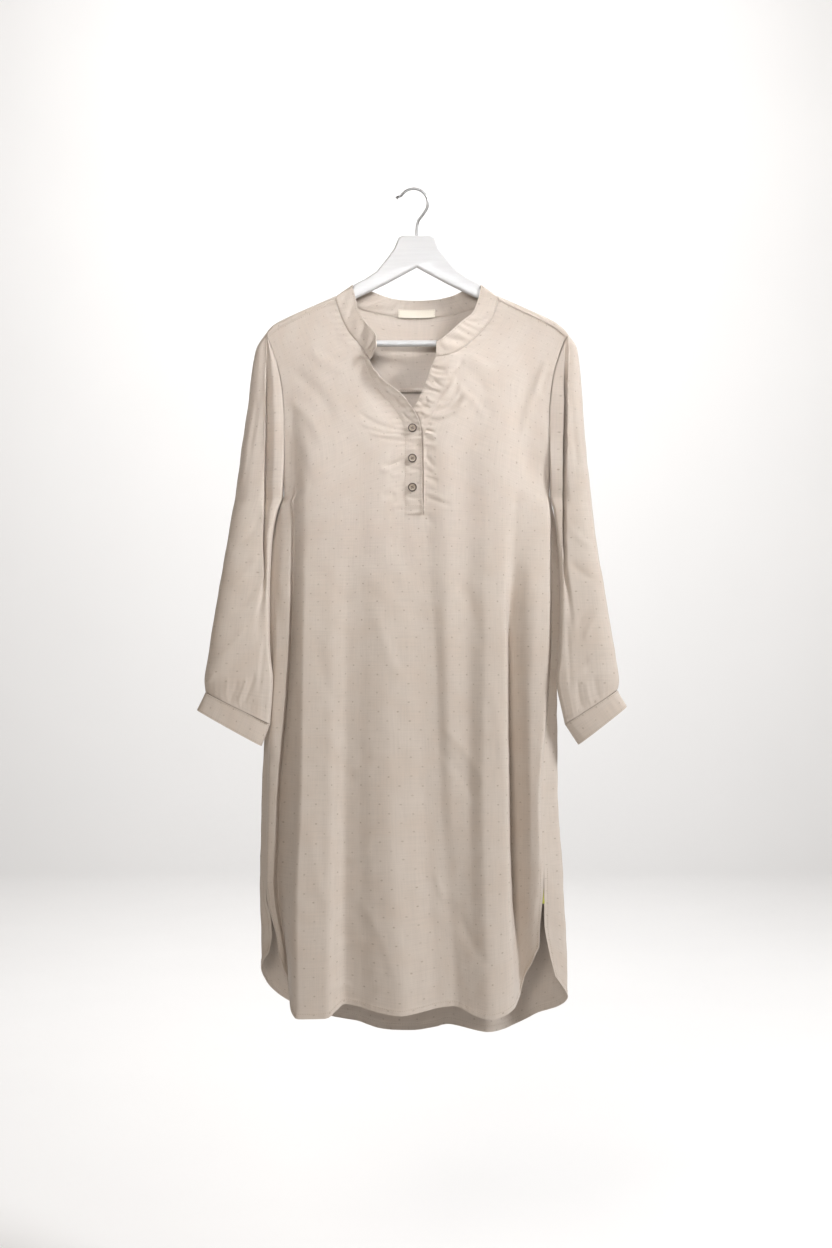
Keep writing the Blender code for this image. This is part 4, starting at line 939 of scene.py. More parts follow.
def run_of(points):
    """How far each point of a line lies from its start, along the line."""
    return np.concatenate(([0], np.cumsum(np.linalg.norm(np.diff(points, axis=0), axis=1))))


def cloth_piece(name, sheet, heights, node_name, wall, outside, finish_name="cloth", cut=None):
    """A thin shell of cloth through a grid of points raised by heights, with its own UV in metres.
    Cut tells which faces are left out, by column and row."""
    normals = normals_of(sheet, outside)
    sheet = sheet + normals * heights[..., None]
    rows, columns = sheet.shape[0] - 1, sheet.shape[1] - 1
    across, down = run_of(sheet[rows // 2]) * MM, run_of(sheet[:, columns // 2]) * MM
    places = to_world(sheet)
    bm = bmesh.new()
    bmesh.ops.create_grid(bm, x_segments=columns, y_segments=rows, size=0.5)
    layer = bm.loops.layers.uv.new("cloth")
    dropped = []
    for face in bm.faces:
        centre = face.calc_center_median()
        if cut and cut(int((centre.x + 0.5) * columns), int((centre.y + 0.5) * rows)):
            dropped.append(face)
    for vert in bm.verts:
        c, r = round((vert.co.x + 0.5) * columns), round((vert.co.y + 0.5) * rows)
        for loop in vert.link_loops:
            loop[layer].uv = (across[c], -down[r])
        vert.co = places[r][c]
    bmesh.ops.delete(bm, geom=dropped, context="FACES")
    bmesh.ops.remove_doubles(bm, verts=bm.verts, dist=0.01 * MM)
    if outside < 0:
        bmesh.ops.reverse_faces(bm, faces=bm.faces)
    shell = put(name + "_shell", mesh_from(bm, name + "_shell"))
    thick = shell.modifiers.new("wall", "SOLIDIFY")
    thick.thickness, thick.offset, thick.use_even_offset = wall, -1, False
    finished = applied(shell)
    finished.name = name
    finished.shade_smooth()
    finished.set_sharp_from_angle(angle=radians(CLOTH_SHARP))
    slot_name, material = {
        "cloth": ("dress_cloth", finish("viscose and linen plain weave", cloth_material)),
        "label": ("woven_label", finish("woven label tape", tape_material, "#f4eee2", "#e6dcca")),
        "tab": ("care_tape", finish("satin care tape", tape_material, "#c9cc62", "#aeb04c")),
    }[finish_name]
    made = add_piece(name, finished, [material], [node_name])
    return made, sheet, normals


# Rows of stitches.

# How high the middle of a stitch lies over the cloth, its length as a share of the pitch, and half its
# width.
STITCH_LIFT, STITCH_SHARE, STITCH_HALF = 0.05, 0.74, 0.3


def add_stitches(bm, points, normals, pitch):
    """Adds stitches along a line of points on the cloth: each is a slim grain of thread."""
    points, ups = to_world(points), np.asarray(normals) * (1, 1, -1)
    run = run_of(points)

    def at(values, place):
        return np.array([np.interp(place, run, values[:, i]) for i in range(3)])

    for start in np.arange(pitch / 2, run[-1] - pitch, pitch):
        first, middle, last = (at(points, start + pitch * STITCH_SHARE * t) for t in (0, 0.5, 1))
        up = at(ups, start + pitch * STITCH_SHARE / 2)
        up = Vector(up / np.linalg.norm(up))
        way = Vector(last - first) / 2
        side = up.cross(way).normalized() * STITCH_HALF * MM
        place = Matrix((way, side, up * STITCH_HALF * MM)).transposed().to_4x4()
        place.translation = Vector(middle) + up * STITCH_LIFT * MM
        bmesh.ops.create_icosphere(bm, subdivisions=1, radius=1, matrix=place)


def inset_line(sheet, normals, edge, distance, first=0, last=None, behind=0):
    """A line on a sheet at a distance from its top, bottom, left or right edge, with its normals. It
    lies on the cloth's back where behind gives the cloth's thickness."""
    inwards, ways = (sheet, normals) if edge in ("left", "right") else (
        np.swapaxes(values, 0, 1) for values in (sheet, normals))
    if edge in ("bottom", "right"):
        inwards, ways = inwards[:, ::-1], ways[:, ::-1]
    points, ups = [], []
    for places, turns in zip(inwards[first:last], ways[first:last]):
        run = run_of(places)
        points.append([np.interp(distance, run, places[:, i]) for i in range(3)])
        ups.append([np.interp(distance, run, turns[:, i]) for i in range(3)])
    points, ups = np.array(points), np.array(ups)
    return (points - ups * behind, -ups) if behind else (points, ups)


def sew(name, sheet, normals, pitch, rows):
    """Makes the rows of stitches of one sheet one piece. Each row gives its edge and the distance from
    it, and then, where it needs them, its first and last column and the thickness to its back."""
    bm = bmesh.new()
    for row in rows:
        add_stitches(bm, *inset_line(sheet, normals, *row), pitch)
    thread = finish("polyester sewing thread", thread_material)
    return add_piece(name, mesh_from(bm, name), [thread])


class PieceOperator(Operator):
    """Shared by the operators: each one raises an error if it can't finish."""

    bl_options = {"REGISTER", "UNDO"}

    @property
    def settings(self):
        return bpy.context.scene.dress_settings


# Longest steps of the front's grid where the creases are small, and elsewhere down and across. Then
# those of the back. The rows at the hem are closer.
FRONT_FINE, FRONT_DOWN, FRONT_OVER = 3.2, 5.2, 4.8
BACK_DOWN, BACK_OVER = 5.0, 4.0
HEM_FINER = 2


class DRESS_OT_front(PieceOperator):
    """Front panel with its lengthwise folds, and the stitches of its hem and slits"""

    bl_idname = "dress.front"
    bl_label = "Front panel"

    def execute(self, context):
        rows = station_rows(0, HEM_STATION)
        coarse = spread(FRONT_FOLDS, front_fold_point, rows)
        places = columns_of(FRONT_FOLDS)
        left, right = places[LEFT_SLOT_FOLD], places[RIGHT_SLOT_FOLD]
        foot = rows.index(PLACKET_STATION)
        # A small gap lies between each half and its placket strip.
        for row in coarse[:foot]:
            for column, way in ((left, -1), (right, 1)):
                width = abs(row[column + way][0] - row[column][0])
                row[column] = mix(row[column], row[column + way], EDGE_GAP / width)
        # The swell of the chest dies out slowly below the placket's foot.
        level = coarse[foot, :, 0]
        share = np.where(np.arange(len(level)) <= left, (level - level[0]) / (level[left] - level[0]),
                         (level[-1] - level) / (level[-1] - level[right]))
        swell = CHEST_SWELL * np.sin(pi * np.clip(share, 0, 1))
        for row, station in zip(coarse[foot:], rows[foot:]):
            row[:, 1] -= swell * (1 - ease((station - PLACKET_STATION) / SWELL_END))
        coarse = pulled(coarse, left=SIDE_GAP, right=SIDE_GAP, top=EDGE_GAP)

        # The slot's column is counted below the placket's foot, because it is open above it.
        column = np.arange(places[-1])
        fine = (column >= places[FINE_FROM]) & (column < places[FINE_TO])
        upper = np.arange(len(rows) - 1) < foot
        down = steps_for(coarse, 0, np.where(upper, FRONT_FINE, FRONT_DOWN))
        down[-1] *= HEM_FINER
        over = steps_for(coarse, 1, np.where(fine, FRONT_FINE, FRONT_OVER))
        over[left] = steps_for(coarse[foot:], 1, FRONT_FINE)[left]
        sheet = refined(coarse, down, over)
        slot_left, slot_right = sum(over[:left]), sum(over[:right])
        foot_row, slit_row = sum(down[:foot]), sum(down[:rows.index(SLIT_STATION)])

        x, z = sheet[..., 0], sheet[..., 2]
        heights = crease_heights(sheet, FRONT_CREASES) + unevenness(sheet, size=0.42, seed=0.4)
        beside = np.maximum(x[:, slot_left, None] - x, x - x[:, slot_right, None])
        gathered = (np.arange(len(sheet)) <= foot_row)[:, None] & (beside > -1)
        gathers = puckers(beside, z, reach=7, period=8.5, rise=0.8, seed=0.7)
        heights += np.where(gathered, gathers, 0)
        heights += hem_fold(z[-1] - z, x, HEM_FRONT, seed=1.1)
        piece, sheet, normals = cloth_piece(
            "front_cloth", sheet, faded(heights), "front", self.settings.cloth_wall, -1,
            cut=lambda c, r: slot_left <= c < slot_right and r < foot_row)
        stitches = sew("front_stitches", sheet, normals, self.settings.stitch_pitch, (
            ("bottom", HEM_FRONT),
            ("left", SLIT_STITCHES, slit_row),
            ("right", SLIT_STITCHES, slit_row),
            ("top", SHOULDER_STITCHES, 4, slot_left - 3),
            ("top", SHOULDER_STITCHES, slot_right + 3, -4),
        ))
        return {"FINISHED"}


# Behind each sleeve the back reaches out past the sleeve's inner edge and closes the gap: how far past
# it, how far behind the sleeve's middle, and the drops between which the reach begins and ends.
REACH_PAST, REACH_BEHIND = 2.5, 11
REACH_BEGINS, REACH_ENDS = (430, 454), (722, 772)
# The pleat's two edges at the yoke seam, how steep they are, how deep it sinks, and how far down.
PLEAT_LEFT, PLEAT_RIGHT, PLEAT_SIDE, PLEAT_SINK, PLEAT_END = -27, 21, 5, 4.2, 7


class DRESS_OT_back(PieceOperator):
    """Back panel under the yoke, with its centre pleat and longer hem"""

    bl_idname = "dress.back"
    bl_label = "Back panel"

    def execute(self, context):
        rows = station_rows(YOKE_STATION, HEM_STATION)
        coarse = spread(BACK_FOLDS, back_fold_point, rows)
        for row in coarse:
            for column, side, sign in ((1, "left", -1), (-2, "right", 1)):
                drop = row[column][2]
                knots = [ARMHOLE[-1][2]] + [low[0] for low in SLEEVE_LOW[side]]
                inner = line(knots, [ARMHOLE[-1][0]] + [low[1] for low in SLEEVE_LOW[side]], drop)
                middle = line(knots, [0] + [low[4] for low in SLEEVE_LOW[side]], drop)
                reach = eased_between(drop, REACH_BEGINS) * (1 - eased_between(drop, REACH_ENDS))
                row[column][0] += sign * max(0, inner + REACH_PAST - abs(row[column][0])) * reach
                row[column][1] += (middle + REACH_BEHIND - row[column][1]) * reach
        coarse = pulled(coarse, left=SIDE_GAP, right=SIDE_GAP, top=EDGE_GAP)
        down, over = steps_for(coarse, 0, BACK_DOWN), steps_for(coarse, 1, BACK_OVER)
        down[-1] *= HEM_FINER
        sheet = refined(coarse, down, over)
        slit_row = sum(down[:rows.index(SLIT_STATION)])

        x, z = sheet[..., 0], sheet[..., 2]
        heights = crease_heights(sheet, BACK_CREASES) + unevenness(sheet, size=0.45, seed=2.1)
        heights += hem_fold(z[-1] - z, x, HEM_BACK, seed=0.3)
        pleat = ease((x - PLEAT_LEFT) / PLEAT_SIDE) * ease((PLEAT_RIGHT - x) / PLEAT_SIDE)
        heights = faded(heights) - PLEAT_SINK * pleat * np.exp((z[0] - z) / PLEAT_END)
        wall = self.settings.cloth_wall
        piece, sheet, normals = cloth_piece("back_cloth", sheet, heights, "back", wall, 1)
        # The hem's stitches show on both faces, because the back hangs below the front.
        stitches = sew("back_stitches", sheet, normals, self.settings.stitch_pitch, (
            ("bottom", HEM_BACK),
            ("bottom", HEM_BACK, 0, None, wall / MM),
            ("top", YOKE_STITCHES, 2, -2),
            ("left", SLIT_STITCHES, slit_row),
            ("right", SLIT_STITCHES, slit_row),
        ))
        return {"FINISHED"}


# Over the hanger's arm from the back to the front: depth, drop under the ridge.
OVER_ARM = ((9.2, 20), (8.4, 8), (7.4, 4), (4.6, 1.2), (0, 0), (-4.6, 1.2), (-7.4, 3.8))
YOKE_NECK_HALF = 80
# Depth of the yoke's flat part at the centre, and how much less it is at the armholes.
YOKE_DEPTH, YOKE_DEPTH_LESS = 19.5, 6
# Stations of the armhole on which the lower part of the yoke's ends lies.
YOKE_END_STATIONS = (1.6, 0.4)
# Steps in the yoke's intervals: short ones over the hanger's arm, and two long ones down the back.
YOKE_DOWN, YOKE_OVER = [4] * len(OVER_ARM) + [10, 10], 4
# The seam allowance inside the back: its rows, and how far apart they are.
ALLOWANCE_ROWS, ALLOWANCE_STEP = 4, 1.6


def neck_steps(first, last):
    """Places along the neck seam shared by every piece that is sewn to it."""
    steps = []
    for k in range(first, last):
        steps.append(k)
        if not NECK_BACK_FIRST <= k < NECK_BACK_LAST:
            steps.append(k + 0.5)
    return steps + [last]


def yoke_flat_depth(across):
    return YOKE_DEPTH - YOKE_DEPTH_LESS * (abs(across) / ARMHOLE[YOKE_STATION][0]) ** 3


def yoke_column(front, bottom_across):
    """From the back yoke seam over the shoulder to a point of the forward shoulder seam."""
    across, top = front[0], ridge_drop(front[0])
    bottom = (bottom_across, yoke_flat_depth(bottom_across), ARMHOLE[YOKE_STATION][2])
    over = [(across, depth, top + below) for depth, below in OVER_ARM]
    return [bottom, tuple(mix(bottom, over[0], 0.5))] + over + [tuple(front)]


def yoke_neck_column(at, bottom_across):
    """From the back yoke seam up to a point of the neck seam, over the arm as far as that point."""
    seam = neck_seam(at)
    bottom = (bottom_across, yoke_flat_depth(bottom_across), ARMHOLE[YOKE_STATION][2])
    count = len(OVER_ARM) + 3
    depths = [depth for depth, _ in OVER_ARM] + [-SHOULDER_DEPTH - 0.5]
    if seam[1] >= depths[0]:
        return [tuple(mix(bottom, seam, ease(k / (count - 1)))) for k in range(count)]
    foot = (seam[0], -SHOULDER_DEPTH, ridge_drop(seam[0]) + SEAM_BELOW[0])
    full = yoke_column(foot, bottom_across)
    step = next(k for k in range(len(depths) - 1) if depths[k + 1] <= seam[1])
    reach = 2 + step + (depths[step] - seam[1]) / (depths[step] - depths[step + 1])
    column = [tuple(line(range(count), full, reach * k / (count - 1))) for k in range(count - 1)]
    return column + [tuple(seam)]


class DRESS_OT_yoke(PieceOperator):
    """Back yoke that folds over both shoulders to the forward shoulder seams"""

    bl_idname = "dress.yoke"
    bl_label = "Back yoke"

    def execute(self, context):
        front = spread(FRONT_FOLDS, front_fold_point, [0])[0]
        places = columns_of(FRONT_FOLDS)
        left, right = front[:places[LEFT_SLOT_FOLD] + 1], front[places[RIGHT_SLOT_FOLD]:]
        outer, corner, foot = ARMHOLE[0][0], NECK[NECK_RIGHT_CORNER][0], ARMHOLE[YOKE_STATION][0]

        def under(point):
            share = (abs(point[0]) - corner) / (outer - corner)
            return np.copysign(YOKE_NECK_HALF + (foot - YOKE_NECK_HALF) * share, point[0])

        columns = [yoke_column(point, under(point)) for point in left]
        steps = neck_steps(NECK_LEFT_CORNER, NECK_RIGHT_CORNER)
        for k, step in enumerate(steps[1:-1], 1):
            columns.append(yoke_neck_column(step, (2 * k / (len(steps) - 1) - 1) * YOKE_NECK_HALF))
        columns += [yoke_column(point, under(point)) for point in right]
        for column, side in ((columns[0], -1), (columns[-1], 1)):
            for k, station in enumerate(YOKE_END_STATIONS, 1):
                column[k] = tuple(armhole(station, side, 1))
        coarse = np.swapaxes(np.array(columns, float), 0, 1)[::-1]
        coarse = pulled(coarse, left=SIDE_GAP, right=SIDE_GAP, top=EDGE_GAP, bottom=EDGE_GAP)
        sheet = refined(coarse, YOKE_DOWN, YOKE_OVER)
        # The seam allowance turns down inside the back, so the seam has no light through it.
        allowance = [sheet[-1] + (0, -ALLOWANCE_STEP * ease(k / 2), ALLOWANCE_STEP * k)
                     for k in range(1, ALLOWANCE_ROWS + 1)]
        sheet = np.concatenate((sheet, np.array(allowance)))
        # Only the flat part behind the hanger's arm is uneven.
        heights = unevenness(sheet, size=0.4, seed=3.3) * eased_between(sheet[..., 1], (9, 15))
        piece, sheet, normals = cloth_piece(
            "yoke_cloth", sheet, heights, "back_yoke", self.settings.cloth_wall, -1)
        stitches = sew("yoke_stitches", sheet, normals, self.settings.stitch_pitch, (
            ("bottom", SHOULDER_STITCHES, 2, -2),
        ))
        return {"FINISHED"}


# Steps in each half of the band's height, and its longest step along the neck.
BAND_ROWS, BAND_OVER = 7, 1.8


class DRESS_OT_collar(PieceOperator):
    """Stand band round the neck, softly crinkled, with a row of stitches at both edges"""

    bl_idname = "dress.collar"
    bl_label = "Collar band"

    def execute(self, context):
        steps = neck_steps(NECK_LEFT_END, NECK_RIGHT_END)
        coarse = np.array([[mix(neck_seam(s), neck_top(s), t) for s in steps] for t in (1, 0.5, 0)])
        coarse = pulled(coarse, bottom=BAND_GAP)
        sheet = refined(coarse, BAND_ROWS, steps_for(coarse, 1, BAND_OVER))
        run = run_of(sheet[BAND_ROWS])[None]
        t = np.linspace(0, 1, len(sheet))[:, None]
        # Short crinkles, longer ones that lean along the band, and narrow sunk tucks between them.
        crinkle = np.sin(run / 2.6 + 2.2 * np.sin(run / 11) + 5 * t)
        crinkle *= 0.55 + 0.45 * np.sin(run / 17 + 1)
        crinkle += 0.9 * np.sin(run / 5.3 + 6 * t + 1.4 * np.sin(run / 19)) * np.sin(run / 31 + 2 * t)
        crinkle -= 0.8 * np.exp(-((np.sin(run / 9.5 + 2.4 * t + np.sin(run / 27)) / 0.28) ** 2))
        heights = crinkle * np.sin(pi * t) ** 0.6
        # Over the hanger's arms the band lies nearly smooth.
        arm = np.exp(-((sheet[..., 1] / 10) ** 2)) * (sheet[..., 2] < 175)
        heights = heights * (1 - 0.9 * arm)
        # The seam that joins the band to the dress lies sunk, as a thin shadow.
        heights *= 1 - 0.8 * (sheet[..., 1] > 14) * np.exp(-(sheet[..., 0] / 34) ** 8)
        heights += 0.8 * np.tanh(sheet[..., 1] / 5) * np.exp(-((1 - t) * 22 / 0.9) ** 2)
        piece, sheet, normals = cloth_piece(
            "collar_cloth", sheet, heights, "collar_band", self.settings.band_wall, 1)
        stitches = sew("collar_stitches", sheet, normals, self.settings.stitch_pitch, (
            ("top", 2.4, 2, -2),
            ("bottom", 2.2, 2, -2),
        ))
        return {"FINISHED"}


# The strips' grid: longest step down, and steps in each of the three intervals across.
STRIP_DOWN, STRIP_OVER, STRIP_SHARES = 2.2, 8, (0, 0.35, 0.7, 1)
# The strips' usual width, and the drops between which the overlap closes.
STRIP_WIDTH, STRIP_CLOSES = 24, (314, 322)
# Name, node, seam to the front half, free edge, first station, side, and seed of the crinkles.
STRIPS = (
    ("placket_over_cloth", "placket_over", LEFT_PLACKET_SEAM, OVER_EDGE, LEFT_NECK_STATIONS, -1, 0.2),
    ("placket_under_cloth", "placket_under", RIGHT_PLACKET_SEAM, UNDER_EDGE, RIGHT_NECK_STATIONS, 1,
     1.9),
)
# Rows of stitches of the strips, by the side that they are on: edge, distance, first row.
STRIP_STITCHES = {
    -1: (("left", 1.6, 3), ("right", 2.0, 3), ("bottom", 2.0), ("bottom", 13.0)),
    1: (("left", 2.0, 3),),
}


def placket_sheet(seam, edge, first, side):
    """The points of one strip of the half placket, as its solid has them."""
    knots = range(first, PLACKET_STATION + 1)
    sheet = []
    for station in station_rows(first, PLACKET_STATION):
        start, end = line(knots, seam, station), line(knots, edge, station)
        row = [mix(start, end, t) for t in STRIP_SHARES]
        sheet.append(row if side < 0 else row[::-1])
    neck = NECK_LEFT_END + 1 if side < 0 else NECK_RIGHT_END - 1
    top = [neck_seam(neck + side * t) for t in STRIP_SHARES]
    sheet[0] = top if side < 0 else top[::-1]
    gaps = {"left": EDGE_GAP} if side < 0 else {"right": EDGE_GAP}
    return pulled(sheet, top=EDGE_GAP, bottom=2 * EDGE_GAP, **gaps)


class DRESS_OT_plackets(PieceOperator):
    """Both strips of the half placket: the buttoned one on top, and the one under it"""

    bl_idname = "dress.plackets"
    bl_label = "Half placket"

    def execute(self, context):
        for name, node_name, seam, edge, first, side, seed in STRIPS:
            coarse = placket_sheet(seam, edge, first, side)
            sheet = refined(coarse, steps_for(coarse, 0, STRIP_DOWN), STRIP_OVER)
            share = np.linspace(0, 1, sheet.shape[1])[None]
            x, z = sheet[..., 0], sheet[..., 2]
            inside = np.sin(pi * share)
            gather = share if side > 0 else 1 - share
            heights = 0.3 * np.sin(z / 2.2 + 2 * np.sin(z / 9 + seed) + 2.5 * share) * inside
            heights += puckers(gather * STRIP_WIDTH, z, reach=9, period=8.5, rise=0.95, seed=0.7)
            heights += crease_heights(sheet, STRIP_CREASES[side]) * np.minimum(1, 3 * (1 - gather))
            if side < 0:
                # The overlap's free edge lifts a little.
                from_edge = (1 - share) * STRIP_WIDTH
                heights += 1.1 * np.exp(-(from_edge / 2.6) ** 2) * (0.8 + 0.2 * np.sin(z / 7))
            else:
                # The cloth sinks into a narrow ditch beside the overlap's edge.
                free_edge = np.interp(z, [e[2] for e in OVER_EDGE], [e[0] for e in OVER_EDGE])
                ditch = np.exp(-((x - free_edge - 0.9) / 0.9) ** 2)
                heights -= 2.4 * eased_between(z, STRIP_CLOSES) * ditch
            heights = heights * ease(np.arange(len(sheet)) / 4)[:, None]
            piece, sheet, normals = cloth_piece(
                name, sheet, heights, node_name, self.settings.band_wall, -1)
            stitches = sew(node_name + "_stitches", sheet, normals, self.settings.stitch_pitch,
                           STRIP_STITCHES[side])
        return {"FINISHED"}


def shoulder_cap_point(sign, t):
    """The sleeve's top edge, bent over the end of the hanger beside the yoke's end."""
    path = [(-SHOULDER_DEPTH, SEAM_BELOW[1])] + list(OVER_ARM[:0:-1])
    depth, below = line([k / (len(path) - 1) for k in range(len(path))], path, t)
    return np.array((sign * CAP_ACROSS, depth, ridge_drop(SHOULDER_POINT) + below))


# How near the overhanging bank of a sleeve's fold stands to it, and how far off the other bank is on
# the right sleeve.
BANK_NEAR, BANK_FAR = 0.9, 5.5
# Half thickness of a sleeve and depth of its fold, at the cap and at the underarm.
SLEEVE_HALVES, FOLD_DEPTHS = (8, 16), (3, 13)
# How far forward the cloth beside the front seam comes towards the underarm, and how far the inner
# bank's edge stands out at the cap.
SLEEVE_FORWARD, BANK_OUT = 0.85, 0.8


def fold_banks(inner, fold, sign):
    """Where the two banks of a sleeve's fold stand: the one on the viewer's left hangs over it."""
    if sign < 0:
        return inner + (fold - inner) * 0.5, fold + BANK_NEAR
    return fold - BANK_NEAR, fold + BANK_FAR


def sleeve_top_ring(side, sign, station):
    """An open ring of the sleeve beside the armhole, from the front seam round to the back one."""
    outer, fold, outer_drop = line(range(len(SLEEVE_TOP[side])), SLEEVE_TOP[side], station)
    front, back = armhole(station, sign, -1), armhole(station, sign, 1)
    half = SLEEVE_HALVES[0] + (SLEEVE_HALVES[1] - SLEEVE_HALVES[0]) * ease(station / 5)
    fold_depth = FOLD_DEPTHS[0] + (FOLD_DEPTHS[1] - FOLD_DEPTHS[0]) * eased_between(station, (1, 4))
    ring = []
    for column, (share, thick) in enumerate(SLEEVE_SECTION):
        seam = front if column < len(SLEEVE_SECTION) / 2 else back
        inner = sign * seam[0] + SLEEVE_HOLD_OFF
        across = inner + (outer - inner) * share
        side_share = abs(thick) if share > 0.5 else 1
        depth = seam[1] * (1 - ease(share * 2)) * (1 - ease((share - 0.8) * 5))
        # Towards the underarm the cloth beside the seam comes forward as it does below it.
        forward = SLEEVE_FORWARD * eased_between(station, (5, UNDERARM_STATION)) if thick < 0 else 0
        depth += half * thick * max(ease(share * 2 + 0.1), forward) if share > 0 else 0
        banks = fold_banks(inner, fold, sign)
        if column == FOLD_COLUMN:
            across = fold
            depth += fold_depth
        if column == FOLD_COLUMN - 1:
            across = banks[0]
            depth -= BANK_OUT * (1 - forward)
        if column == FOLD_COLUMN + 1:
            across = banks[1]
        drop = seam[2] + (outer_drop - seam[2]) * share
        ring.append((sign * across, depth * side_share ** 0.2, drop))
    if station < 1:
        cap = [shoulder_cap_point(sign, k / (len(ring) - 1)) for k in range(len(ring))]
        ring = [mix(c, r, ease(station)) for c, r in zip(cap, ring)]
    return ring


def sleeve_low_ring(sign, drop, values):
    """A closed ring of the sleeve below the underarm, where the fold flattens out."""
    inner, fold, outer, middle, half, fold_depth = values
    pull = ease(fold_depth / 8)
    banks = fold_banks(inner, fold, sign)
    ring = []
    for column, (share, thick) in enumerate(SLEEVE_SECTION):
        across = inner + (outer - inner) * share
        depth = middle + half * thick
        if column == FOLD_COLUMN:
            across += (fold - across) * pull
            depth += fold_depth
        if column == FOLD_COLUMN - 1:
            across += (banks[0] - across) * pull
        if column == FOLD_COLUMN + 1:
            across += (banks[1] - across) * pull
        ring.append((sign * across, depth, drop))
    return ring


def sleeve_sheet(side, sign):
    """The points of a sleeve from the shoulder cap to the cuff, as its solid has them."""
    sheet = [sleeve_top_ring(side, sign, station) for station in station_rows(0, UNDERARM_STATION)]
    knots = [ARMHOLE[-1][2]] + [low[0] for low in SLEEVE_LOW[side]]
    outer, fold, _ = SLEEVE_TOP[side][-1]
    under = (ARMHOLE[-1][0] + 3, fold, outer, 0, SLEEVE_HALVES[1], FOLD_DEPTHS[1])
    lows = [under] + [low[1:] for low in SLEEVE_LOW[side]]
    for drop in SLEEVE_DROPS:
        sheet.append(sleeve_low_ring(sign, drop, line(knots, lows, drop)))
    (inner, inner_drop), (outer, outer_drop) = CUFF[side][:2]
    sheet.append([(sign * (inner + (outer - inner) * share), CUFF_DEPTH + depth * SLEEVE_END_HALF,
                   inner_drop + (outer_drop - inner_drop) * share - SLEEVE_END_ABOVE_CUFF)
                  for share, depth in SLEEVE_SECTION])
    if sign > 0:
        sheet = [row[::-1] for row in sheet]
    return np.array(sheet, float)


def cuff_sheet(side, sign):
    corners = CUFF[side]
    sheet = []
    for t in (0, 0.5, 1):
        inner, inner_drop = mix(corners[0], corners[2], t)
        outer, outer_drop = mix(corners[1], corners[3], t)
        row = []
        for k in range(CUFF_TURNS + 1):
            angle = 2 * pi * (k % CUFF_TURNS) / CUFF_TURNS
            share = (1 - cos(angle)) / 2
            rise = abs(sin(angle)) ** (1 - CUFF_FLATNESS)
            depth = -rise if 0 < angle < pi else rise
            row.append((sign * (inner + (outer - inner) * share), CUFF_DEPTH + depth * CUFF_HALF,
                        inner_drop + (outer_drop - inner_drop) * share))
        sheet.append(row if sign < 0 else row[::-1])
    return np.array(sheet, float)


# Longest steps of the sleeves' grid, and steps in the intervals of the cuffs'.
SLEEVE_DOWN, SLEEVE_OVER = 4.0, 2.8
CUFF_DOWN, CUFF_OVER = 6, 4


class DRESS_OT_sleeves(PieceOperator):
    """Both set-in sleeves, each with the deep fold in front of its armhole, and their cuffs"""

    bl_idname = "dress.sleeves"
    bl_label = "Sleeves and cuffs"

    def execute(self, context):
        for side, sign in (("left", -1), ("right", 1)):
            coarse = sleeve_sheet(side, sign)
            sheet = refined(coarse, steps_for(coarse, 0, SLEEVE_DOWN), steps_for(coarse, 1, SLEEVE_OVER))
            rows, columns = sheet.shape[:2]
            heights = crease_heights(sheet, SLEEVE_CREASES[side], sign)
            heights += unevenness(sheet, size=0.4, seed=1.3 + sign)
            # The cuff's seam gathers the sleeve's end.
            above, along = sheet[-1, :, 2] - sheet[..., 2], np.arange(columns)[None] * 2.6
            heights += puckers(above, along, reach=12, period=9, rise=0.55, seed=sign)
            # The heights die out at the side seam, over the cap and at the cuff.
            down = np.arange(rows)[:, None]
            heights = heights * ease(steps_in(columns) / 4)[None]
            heights = heights * eased_between(down, (14, 24)) * ease(down[::-1] / 2)
            piece, sheet, normals = cloth_piece(
                f"sleeve_{side}_cloth", sheet, heights, f"sleeve_{side}", self.settings.cloth_wall, 1)

            sheet = refined(cuff_sheet(side, sign), CUFF_DOWN, CUFF_OVER)
            t = np.linspace(0, 1, len(sheet))[:, None]
            k = np.arange(sheet.shape[1])[None]
            heights = 0.16 * np.sin(k * 0.9 + 2 * np.sin(k * 0.21) + 3 * t) * np.sin(pi * t)
            heights[:, 0] = heights[:, -1] = 0
            piece, sheet, normals = cloth_piece(
                f"cuff_{side}_cloth", sheet, heights, f"cuff_{side}", self.settings.band_wall, 1)
            stitches = sew(f"cuff_{side}_stitches", sheet, normals, self.settings.stitch_pitch, (
                ("top", 2.0),
                ("bottom", 2.4),
            ))
        return {"FINISHED"}


def placket_depth(station, across):
    """Depth of the upper placket strip's face at a place across it."""
    knots = range(LEFT_NECK_STATIONS, PLACKET_STATION + 1)
    start, end = line(knots, LEFT_PLACKET_SEAM, station), line(knots, OVER_EDGE, station)
    return mix(start, end, (across - start[0]) / (end[0] - start[0]))[1]


# Outline of a button from its middle outwards: distance from its axis, height over its back.
BUTTON_SECTION = (
    (0, 1.75), (3.2, 1.75), (4.1, 1.8), (4.6, 2.2), (5.0, 2.55), (5.35, 2.6), (5.9, 2.2), (6.2, 1.5),
    (6.2, 0.9), (5.8, 0.25), (5.2, 0), (0, 0),
)
BUTTON_STEPS = 48
# Where the dark rim begins, and how high over the back's face it reaches round.
RIM_FROM, RIM_BACK = 4.7, 0.1
# The four holes are not cut: dark discs of painted shade stand in for them. Their radius, how far off
# the middle, and height of their dark faces.
HOLE_RADIUS, HOLE_OFF, HOLE_HEIGHT = 0.75, 1.6, 1.72
# The crossed thread: length, width and thickness of each run, and its height.
THREAD_SIZE, THREAD_HEIGHT = (3.6, 0.6, 0.4), 1.95
RESIN, RIM, THREAD = 0, 1, 2


def paint_faces(verts, material):
    for face in {face for vert in verts for face in vert.link_faces}:
        face.material_index = material


